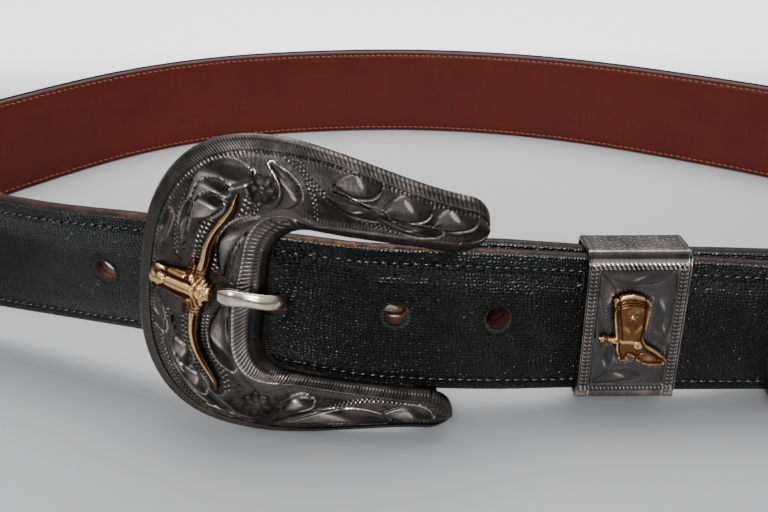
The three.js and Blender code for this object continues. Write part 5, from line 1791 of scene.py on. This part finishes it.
# Boot
def boot_relief(looks):
    piece, points, normals = remeshed_node("boot_relief", "cowboy_boot", 0.16, 3)
    axes, middle = keeper_frame()
    local = (points - middle) @ axes
    x, z = local[:, 0], local[:, 2]
    front = smooth_step(-KEEPER_FRONT - 0.3, -KEEPER_FRONT - 0.8, local[:, 1])
    edge_far, _, _ = line_distance(x, z, np.array(BOOT_OUTLINE + BOOT_OUTLINE[:1]))
    shaft = smooth_step(-3.4, -2.2, z)
    # Swell of the shaft and of the foot
    swell = 0.5 * shaft * (1 - np.clip(np.abs(x - 0.1) / 4.6, 0, 1) ** 2)
    foot = 0.55 * bell(np.hypot((x - 4.2) / 1.6, z + 7.6), 2.4)
    change = swell + foot
    # Scalloped top, double line under it, side seams
    scallop = z - 9.3 + 0.32 * (x - 0.2) ** 2 * 0.25
    for drop in (0.9, 1.6):
        change = change - 0.3 * bell(scallop + drop, 0.2)
    for seam in (-3.3, 3.3):
        change = change - 0.26 * bell(x - seam * (0.8 + 0.2 * (z + 3) / 12), 0.2) * shaft
    # Flower of five points and two leaves on the shaft
    far, turn = np.hypot(x, z - 4.2), np.arctan2(z - 4.2, x)
    petal = 0.75 + 0.5 * np.cos(5 * (turn - math.pi / 2))
    change = change + 0.12 * smooth_step(0.4, -0.4, far - petal) + 0.26 * bell(far, 0.45)
    for side in (-1, 1):
        leaf = bell(np.hypot((x - side * 1.5) * 0.9 - side * (z - 0.9) * 0.35, (z - 0.9) * 0.55), 0.75)
        change = change + 0.15 * leaf
    # Ankle disc with its strap, heel and sole lines, stitched toe
    disc = np.hypot(x - 1.3, z + 4.4)
    change = change + 0.3 * smooth_step(1.2, 1.0, disc) - 0.2 * bell(disc, 0.35)
    change = change + 0.24 * bell(z + 3.6 + 0.1 * x, 0.55) * (x < 2)
    change = change - 0.3 * bell(z + 9.7, 0.16) * (x > 1) - 0.3 * bell(z + 7.9, 0.18) * (x < -0.6)
    change = change - 0.3 * bell(np.hypot((x - 3.4) * 0.8, z + 8.6) - 2.2, 0.17) * smooth_step(-9.4, -8.4, z)
    hub = np.hypot(x + 6.9, z + 3.1)
    change = change - 0.3 * bell(hub, 0.4)
    # Rolled rim round the whole outline, with a dark line inside it
    change = change + 0.16 * bell(edge_far - 0.25, 0.22) - 0.2 * bell(edge_far - 0.9, 0.25)
    change = change * front
    lean = np.column_stack((BOOT_RIGHT + BOOT_SLANT * z, 0 * z, BOOT_UP + BOOT_SQUEEZE * z)) @ axes.T
    move_vertices(piece, points + normals * change[:, None] + lean)
    base = (swell + foot) * front
    shine = 0.42 + 1.9 * (change - base) + 0.16 * base + 0.1 * bell(edge_far - 0.2, 0.2) * front
    shine = np.clip(shine - 0.3 * (1 - front) - 0.2 * bell(np.hypot(x, z - 2.5), 2.6), 0, 1)
    finish_relief(piece, shine, looks, "cowboy_boot")


# End tip
def rounded_section(thick, high, corner, faces):
    """Walk round a rounded rectangle from the middle of its back, evenly spread on its face."""
    spots = []
    low_high = high - corner
    for out, sign in ((thick, 1), (-thick, -1)):
        straight = np.linspace(-low_high, low_high, faces) * sign
        spots += [(out, value) for value in straight]
        centre = (out - sign * corner, sign * low_high)
        start = 0 if sign > 0 else 180
        for turn in np.radians(np.linspace(start, start + 90, 6))[1:]:
            spots.append((centre[0] + corner * math.cos(turn), centre[1] + corner * math.sin(turn)))
        other = (-out + sign * corner, sign * low_high)
        for turn in np.radians(np.linspace(start + 90, start + 180, 6))[:-1]:
            spots.append((other[0] + corner * math.cos(turn), other[1] + corner * math.sin(turn)))
    return closing(np.array(spots))


def tip_rows(over, end, alongs, faces):
    half, depth = STRAP_WIDTH / 2 + over, STRAP_HALF + over
    rounding = half * 0.85
    rows = []
    for along in alongs:
        rounded = max(rounding - max(end - along, 0), 0) / rounding
        shrink = math.sqrt(max(1 - rounded ** TIP_POWER, TIP_BLUNT))
        high = half * shrink
        section = rounded_section(depth * (0.72 + 0.28 * shrink), high, min(1.2, high * 0.5), faces)
        rows.append(np.column_stack((np.full(len(section), along), section)))
    return np.array(rows)


def engraved_tip(looks):
    mouth = strap_frames(WAY.length - TIP_POCKET)
    shares = np.concatenate((np.linspace(0, 0.6, 64), 1 - (1 - np.linspace(0, 1, 46)[1:]) ** 1.7 * 0.4))
    outer = tip_rows(TIP_WALL + TIP_GAP, TIP_LONG, shares * TIP_LONG, 72)
    inner_shares = np.array((0, 0.3, 0.6, 0.8, 0.92, 0.99))[::-1]
    inner_rows = tip_rows(TIP_GAP, TIP_LONG - TIP_WALL, inner_shares * (TIP_LONG - TIP_WALL), 72)
    along, out, high = outer[..., 0], outer[..., 1], outer[..., 2]
    relief = Engraving(along, high, TIP_SEED)
    for row in TIP_LEAVES:
        relief.leaf(row)
    half = STRAP_WIDTH / 2 + TIP_WALL + TIP_GAP
    rounded = np.clip((along - TIP_LONG + half * 0.85) / (half * 0.85), 0, 1)
    rim = half * np.sqrt(np.clip(1 - rounded ** TIP_POWER, 0.0, 1)) - np.abs(high)
    rim = np.minimum(rim, (TIP_LONG - along) * 1.2)
    turn = np.arctan2(high, along - 12.0) * 17
    rope = np.abs(np.sin(math.pi * (turn / 1.3))) ** 0.6
    border = smooth_step(2.9, 2.5, rim)
    mouth_band = smooth_step(3.2, 2.8, along)
    ticks = np.abs(np.sin(math.pi * high / 1.2)) ** 0.6
    beads = pearls(high, 1.2) * bell(along - 3.9, 0.42)
    height = lerp(relief.height * 0.7, 0.1 + 0.25 * rope, border)
    shine = lerp(relief.shine, 0.15 + 0.5 * rope, border)
    height = lerp(height, 0.12 + 0.25 * ticks, mouth_band) + 0.3 * beads * (1 - border)
    shine = np.clip(lerp(shine, 0.15 + 0.5 * ticks, mouth_band) + 0.6 * beads, 0, 1)
    flat_face = smooth_step(0.35, 0.9, np.abs(out) / (STRAP_HALF + TIP_WALL + TIP_GAP))
    out = out + np.sign(out) * height * flat_face * np.clip((TIP_LONG - along) / 2, 0, 1)
    outer = np.stack((along, out, high), axis=-1)
    local = np.concatenate((inner_rows, outer))
    shine = np.concatenate((np.full(inner_rows.shape[:2], 0.2), shine))
    flat = local.reshape(-1, 3)
    points = (mouth.origin[0] + flat[:, :1] * mouth.along[0] + flat[:, 1:2] * mouth.out[0]
              + (STRAP_WIDTH / 2 + flat[:, 2:3]) * mouth.top[0]).reshape(local.shape)
    piece = grid_piece("engraved_tip", with_end_caps(points), marks={"shine": with_ends_twice(shine)})
    finish_piece(piece, engraved_silver("tip_silver", looks), ("belt_tip",))


# Settings that a user would change
def colour_setting(name, description, default):
    return FloatVectorProperty(name=name, description=description, subtype="COLOR", size=3, min=0, max=1,
                               default=default)


class BeltLooks(bpy.types.PropertyGroup):
    """Colours and gloss of the belt's finishes."""
    lizard_dark: colour_setting("Lizard Dark", "Darkest scales of the outer leather", (0.003, 0.003, 0.0031))
    lizard_light: colour_setting("Lizard Light", "Lightest scales of the outer leather",
                                 (0.006, 0.0056, 0.005))
    lizard_rough: FloatProperty(name="Lizard Roughness", description="Roughness of the outer leather",
                                min=0.1, max=1, default=0.28)
    edge_brown: colour_setting("Edge Brown", "Cut edge of the strap", (0.016, 0.013, 0.011))
    edge_tan: colour_setting("Edge Tan", "Edge rubbed through to the leather", (0.24, 0.095, 0.03))
    hole_rim: colour_setting("Hole Rim", "Pale rim round a punched hole", (0.06, 0.065, 0.055))
    hole_dark: colour_setting("Hole Dark", "Raw leather inside a hole, in shade", (0.006, 0.002, 0.001))
    hole_light: colour_setting("Hole Light", "Raw leather inside a hole", (0.085, 0.025, 0.007))
    russet_dark: colour_setting("Russet Dark", "Darker clouds of the lining", (0.068, 0.0045, 0.0015))
    russet_light: colour_setting("Russet Light", "Lighter clouds of the lining", (0.094, 0.0074, 0.0024))
    russet_scuff: colour_setting("Russet Scuff", "Rubs on the lining", (0.2, 0.045, 0.02))
    thread_black: colour_setting("Black Thread", "Stitches of the outer leather", (0.012, 0.012, 0.012))
    thread_tan: colour_setting("Tan Thread", "Stitches of the lining", (0.3, 0.085, 0.05))
    silver_recess: colour_setting("Silver Recess", "Black tarnish in the cuts", (0.024, 0.022, 0.02))
    silver_ground: colour_setting("Silver Ground", "Tarnished silver", (0.09, 0.084, 0.075))
    silver_polish: colour_setting("Silver Polish", "Rubbed silver on raised places", (0.54, 0.48, 0.43))
    silver_warm: colour_setting("Silver Warm", "Warm cast of the tarnish", (0.6, 0.5, 0.46))
    silver_rough: FloatProperty(name="Silver Roughness", description="Roughness of the tarnished silver",
                                min=0.1, max=1, default=0.3)
    keeper_recess: colour_setting("Keeper Recess", "Tarnish in the keeper's cuts", (0.036, 0.033, 0.03))
    keeper_ground: colour_setting("Keeper Ground", "Tarnished field of the keeper", (0.08, 0.078, 0.077))
    keeper_polish: colour_setting("Keeper Polish", "Rubbed silver of the keeper", (0.5, 0.44, 0.39))
    gold_dark: colour_setting("Gold Dark", "Dirt in the recesses of the gold", (0.05, 0.02, 0.01))
    gold_mid: colour_setting("Gold Mid", "Aged gold", (0.18, 0.082, 0.032))
    gold_light: colour_setting("Gold Light", "Rubbed gold", (0.84, 0.53, 0.24))
    prong_dull: colour_setting("Prong Dull", "Duller patches of the prong", (0.5, 0.45, 0.33))
    prong_bright: colour_setting("Prong Bright", "Bright patches of the prong", (0.76, 0.7, 0.55))


class BeltStitching(bpy.types.PropertyGroup):
    """Stitches of both leathers."""
    pitch: FloatProperty(name="Pitch", description="From one stitch to the next, in millimetres",
                         min=1, max=6, default=2.5)
    long: FloatProperty(name="Length", description="Length of a stitch, in millimetres",
                        min=0.5, max=5, default=2.1)
    thick: FloatProperty(name="Thickness", description="Thread thickness, in millimetres",
                         min=0.2, max=1.5, default=0.62)


class BeltStage(bpy.types.PropertyGroup):
    """Floor, camera and lights."""
    camera_place: FloatVectorProperty(name="Camera Place", description="Where the camera stands", size=3,
                                      subtype="TRANSLATION", unit="LENGTH",
                                      default=(-0.01573, -0.29036, 0.1543))
    camera_pitch: FloatProperty(name="Camera Pitch", description="How far the camera looks down",
                                subtype="ANGLE", default=math.radians(29.13))
    focal_pixels: FloatProperty(name="Focal Length",
                                description="Focal length, in pixels of a 768 pixel picture",
                                min=100, default=899.0)
    floor_colour: colour_setting("Floor Colour", "Plain pale floor", (0.37, 0.37, 0.375))
    world_light: FloatProperty(name="World Light", description="Strength of the pale surroundings",
                               min=0, default=0.85)
    key_power: FloatProperty(name="Key Power", description="Large soft light overhead", unit="POWER",
                             min=0, default=8.0)
    fill_power: FloatProperty(name="Fill Power", description="Soft light from the front left", unit="POWER",
                              min=0, default=4.0)
    light_count: IntProperty(name="Light Count", description="Soft lights on the stage",
                             min=1, max=4, default=4)


class BELT_OT_leather(bpy.types.Operator):
    """Make the lizard skin, the lining and their stitches"""
    bl_idname = "belt.leather"
    bl_label = "Belt Leather"

    def execute(self, context):
        looks, seams = context.scene.belt_looks, context.scene.belt_stitching
        lizard_skin(looks)
        russet_lining(looks)
        black = thread_material("black_thread", (0.004, 0.004, 0.004), looks.thread_black, 0.26, 0.8)
        tan_dark = tuple(0.7 * part for part in looks.thread_tan)
        tan = thread_material("tan_thread", tan_dark, looks.thread_tan, 0.65, 0.0)
        face = LAYER_GAP / 2 + LEATHER_WALL - FRONT_STITCH_SINK
        stitch_row("front_stitches", black,
                   ((SEAM_FROM_EDGE, face), (STRAP_WIDTH - SEAM_FROM_EDGE - UPPER_SEAM_DROP, face)),
                   STITCH_START, seams)
        inside = -(LAYER_GAP / 2 + LEATHER_WALL - LINING_STITCH_SINK)
        stitch_row("lining_stitches", tan,
                   ((LINING_SEAM_LOW, inside), (STRAP_WIDTH - LINING_SEAM_HIGH, inside)),
                   LINING_START + 1, seams)
        return {"FINISHED"}


class BELT_OT_buckle(bpy.types.Operator):
    """Make the engraved buckle with its bar"""
    bl_idname = "belt.buckle"
    bl_label = "Belt Buckle"

    def execute(self, context):
        engraved_buckle(context.scene.belt_looks)
        return {"FINISHED"}


class BELT_OT_longhorn(bpy.types.Operator):
    """Make the longhorn head on the buckle"""
    bl_idname = "belt.longhorn"
    bl_label = "Longhorn Head"

    def execute(self, context):
        longhorn_relief(context.scene.belt_looks)
        return {"FINISHED"}


class BELT_OT_prong(bpy.types.Operator):
    """Make the prong with its eye round the bar"""
    bl_idname = "belt.prong"
    bl_label = "Prong"

    def execute(self, context):
        polished_prong(context.scene.belt_looks)
        return {"FINISHED"}


class BELT_OT_keeper(bpy.types.Operator):
    """Make the keeper band and the boot on its face"""
    bl_idname = "belt.keeper"
    bl_label = "Keeper And Boot"

    def execute(self, context):
        engraved_keeper(context.scene.belt_looks)
        boot_relief(context.scene.belt_looks)
        return {"FINISHED"}


class BELT_OT_tip(bpy.types.Operator):
    """Make the metal pocket over the end of the strap"""
    bl_idname = "belt.tip"
    bl_label = "End Tip"

    def execute(self, context):
        engraved_tip(context.scene.belt_looks)
        return {"FINISHED"}


class BELT_OT_stage(bpy.types.Operator):
    """Make the floor, the camera and the soft lights"""
    bl_idname = "belt.stage"
    bl_label = "Stage"

    def execute(self, context):
        stage = context.scene.belt_stage
        floor = made_by(bpy.ops.mesh.primitive_plane_add, size=30)
        floor.name = "plain_floor"
        floor.data.materials.append(plain_floor(stage.floor_colour))
        camera_data = bpy.data.cameras.new("belt_camera")
        camera_data.lens = stage.focal_pixels / PICTURE_WIDTH * camera_data.sensor_width
        camera_data.clip_start = 0.01
        camera = bpy.data.objects.new("belt_camera", camera_data)
        camera.location = stage.camera_place
        camera.rotation_euler = (math.pi / 2 - stage.camera_pitch, 0, 0)
        context.scene.collection.objects.link(camera)
        context.scene.camera = camera
        for name, place, aim, size, power in (
                ("key_light", (0.05, 0.3, 1.25), (0, 0.05, 0), 1.1, stage.key_power),
                ("fill_light", (-0.3, -1.1, 0.52), (0, -0.1, 0.03), 0.2, stage.fill_power),
                ("side_light", (-0.2, -0.85, 0.7), (0, -0.1, 0.03), 0.28, stage.fill_power),
                ("back_light", (0, 0.75, 0.5), (0, 0.751, 0), 1.6, stage.fill_power * 3.2),
                )[:stage.light_count]:
            soft_light(context, name, place, aim, size, power)
        world = bpy.data.worlds.new("pale_world")
        context.scene.world = world
        world.use_nodes = True
        background = world.node_tree.nodes["Background"]
        feed(background, "Strength", stage.world_light)
        tree = world.node_tree
        _, _, up = parts_of(tree, add_node(tree, "ShaderNodeTexCoord").outputs[0])
        sky = step_between(tree, up, 0.0, 0.75)
        feed(background, "Color", blend(tree, sky, SKY_LOW, SKY_HIGH))
        return {"FINISHED"}


def soft_light(context, name, place, aim, size, power):
    data = bpy.data.lights.new(name, "AREA")
    data.shape = "DISK"
    data.size = size
    data.energy = power
    data.spread = math.radians(80 if name == "back_light" else 180)
    light = bpy.data.objects.new(name, data)
    light.location = place
    way = np.array(aim, dtype=float) - np.array(place)
    flat = math.hypot(way[0], way[1])
    light.rotation_euler = (math.atan2(flat, -way[2]), 0, math.atan2(way[1], way[0]) - math.pi / 2)
    context.scene.collection.objects.link(light)


class BELT_PT_panel(bpy.types.Panel):
    """Belt tools in the sidebar"""
    bl_label = "Lizard Leather Belt"
    bl_idname = "BELT_PT_panel"
    bl_space_type = "VIEW_3D"
    bl_region_type = "UI"
    bl_category = "Belt"

    def draw(self, context):
        for operator in PIECE_OPERATORS:
            self.layout.operator(operator.bl_idname)
        self.layout.prop(context.scene.belt_stitching, "pitch")
        self.layout.prop(context.scene.belt_looks, "silver_rough")


PIECE_OPERATORS = (BELT_OT_leather, BELT_OT_buckle, BELT_OT_longhorn, BELT_OT_prong, BELT_OT_keeper,
                   BELT_OT_tip, BELT_OT_stage)
CLASSES = (BeltLooks, BeltStitching, BeltStage) + PIECE_OPERATORS + (BELT_PT_panel,)


def register():
    for cls in CLASSES:
        bpy.utils.register_class(cls)
    bpy.types.Scene.belt_looks = PointerProperty(type=BeltLooks)
    bpy.types.Scene.belt_stitching = PointerProperty(type=BeltStitching)
    bpy.types.Scene.belt_stage = PointerProperty(type=BeltStage)


def unregister():
    del bpy.types.Scene.belt_stage
    del bpy.types.Scene.belt_stitching
    del bpy.types.Scene.belt_looks
    for cls in reversed(CLASSES):
        bpy.utils.unregister_class(cls)


def main():
    register()
    for group in (mottle_group, scratch_group, scale_group, hole_group, edge_group):
        group()
    bpy.ops.belt.stage()
    bpy.ops.belt.leather()
    bpy.ops.belt.buckle()
    bpy.ops.belt.longhorn()
    bpy.ops.belt.prong()
    bpy.ops.belt.keeper()
    bpy.ops.belt.tip()


if __name__ == "__main__":
    main()
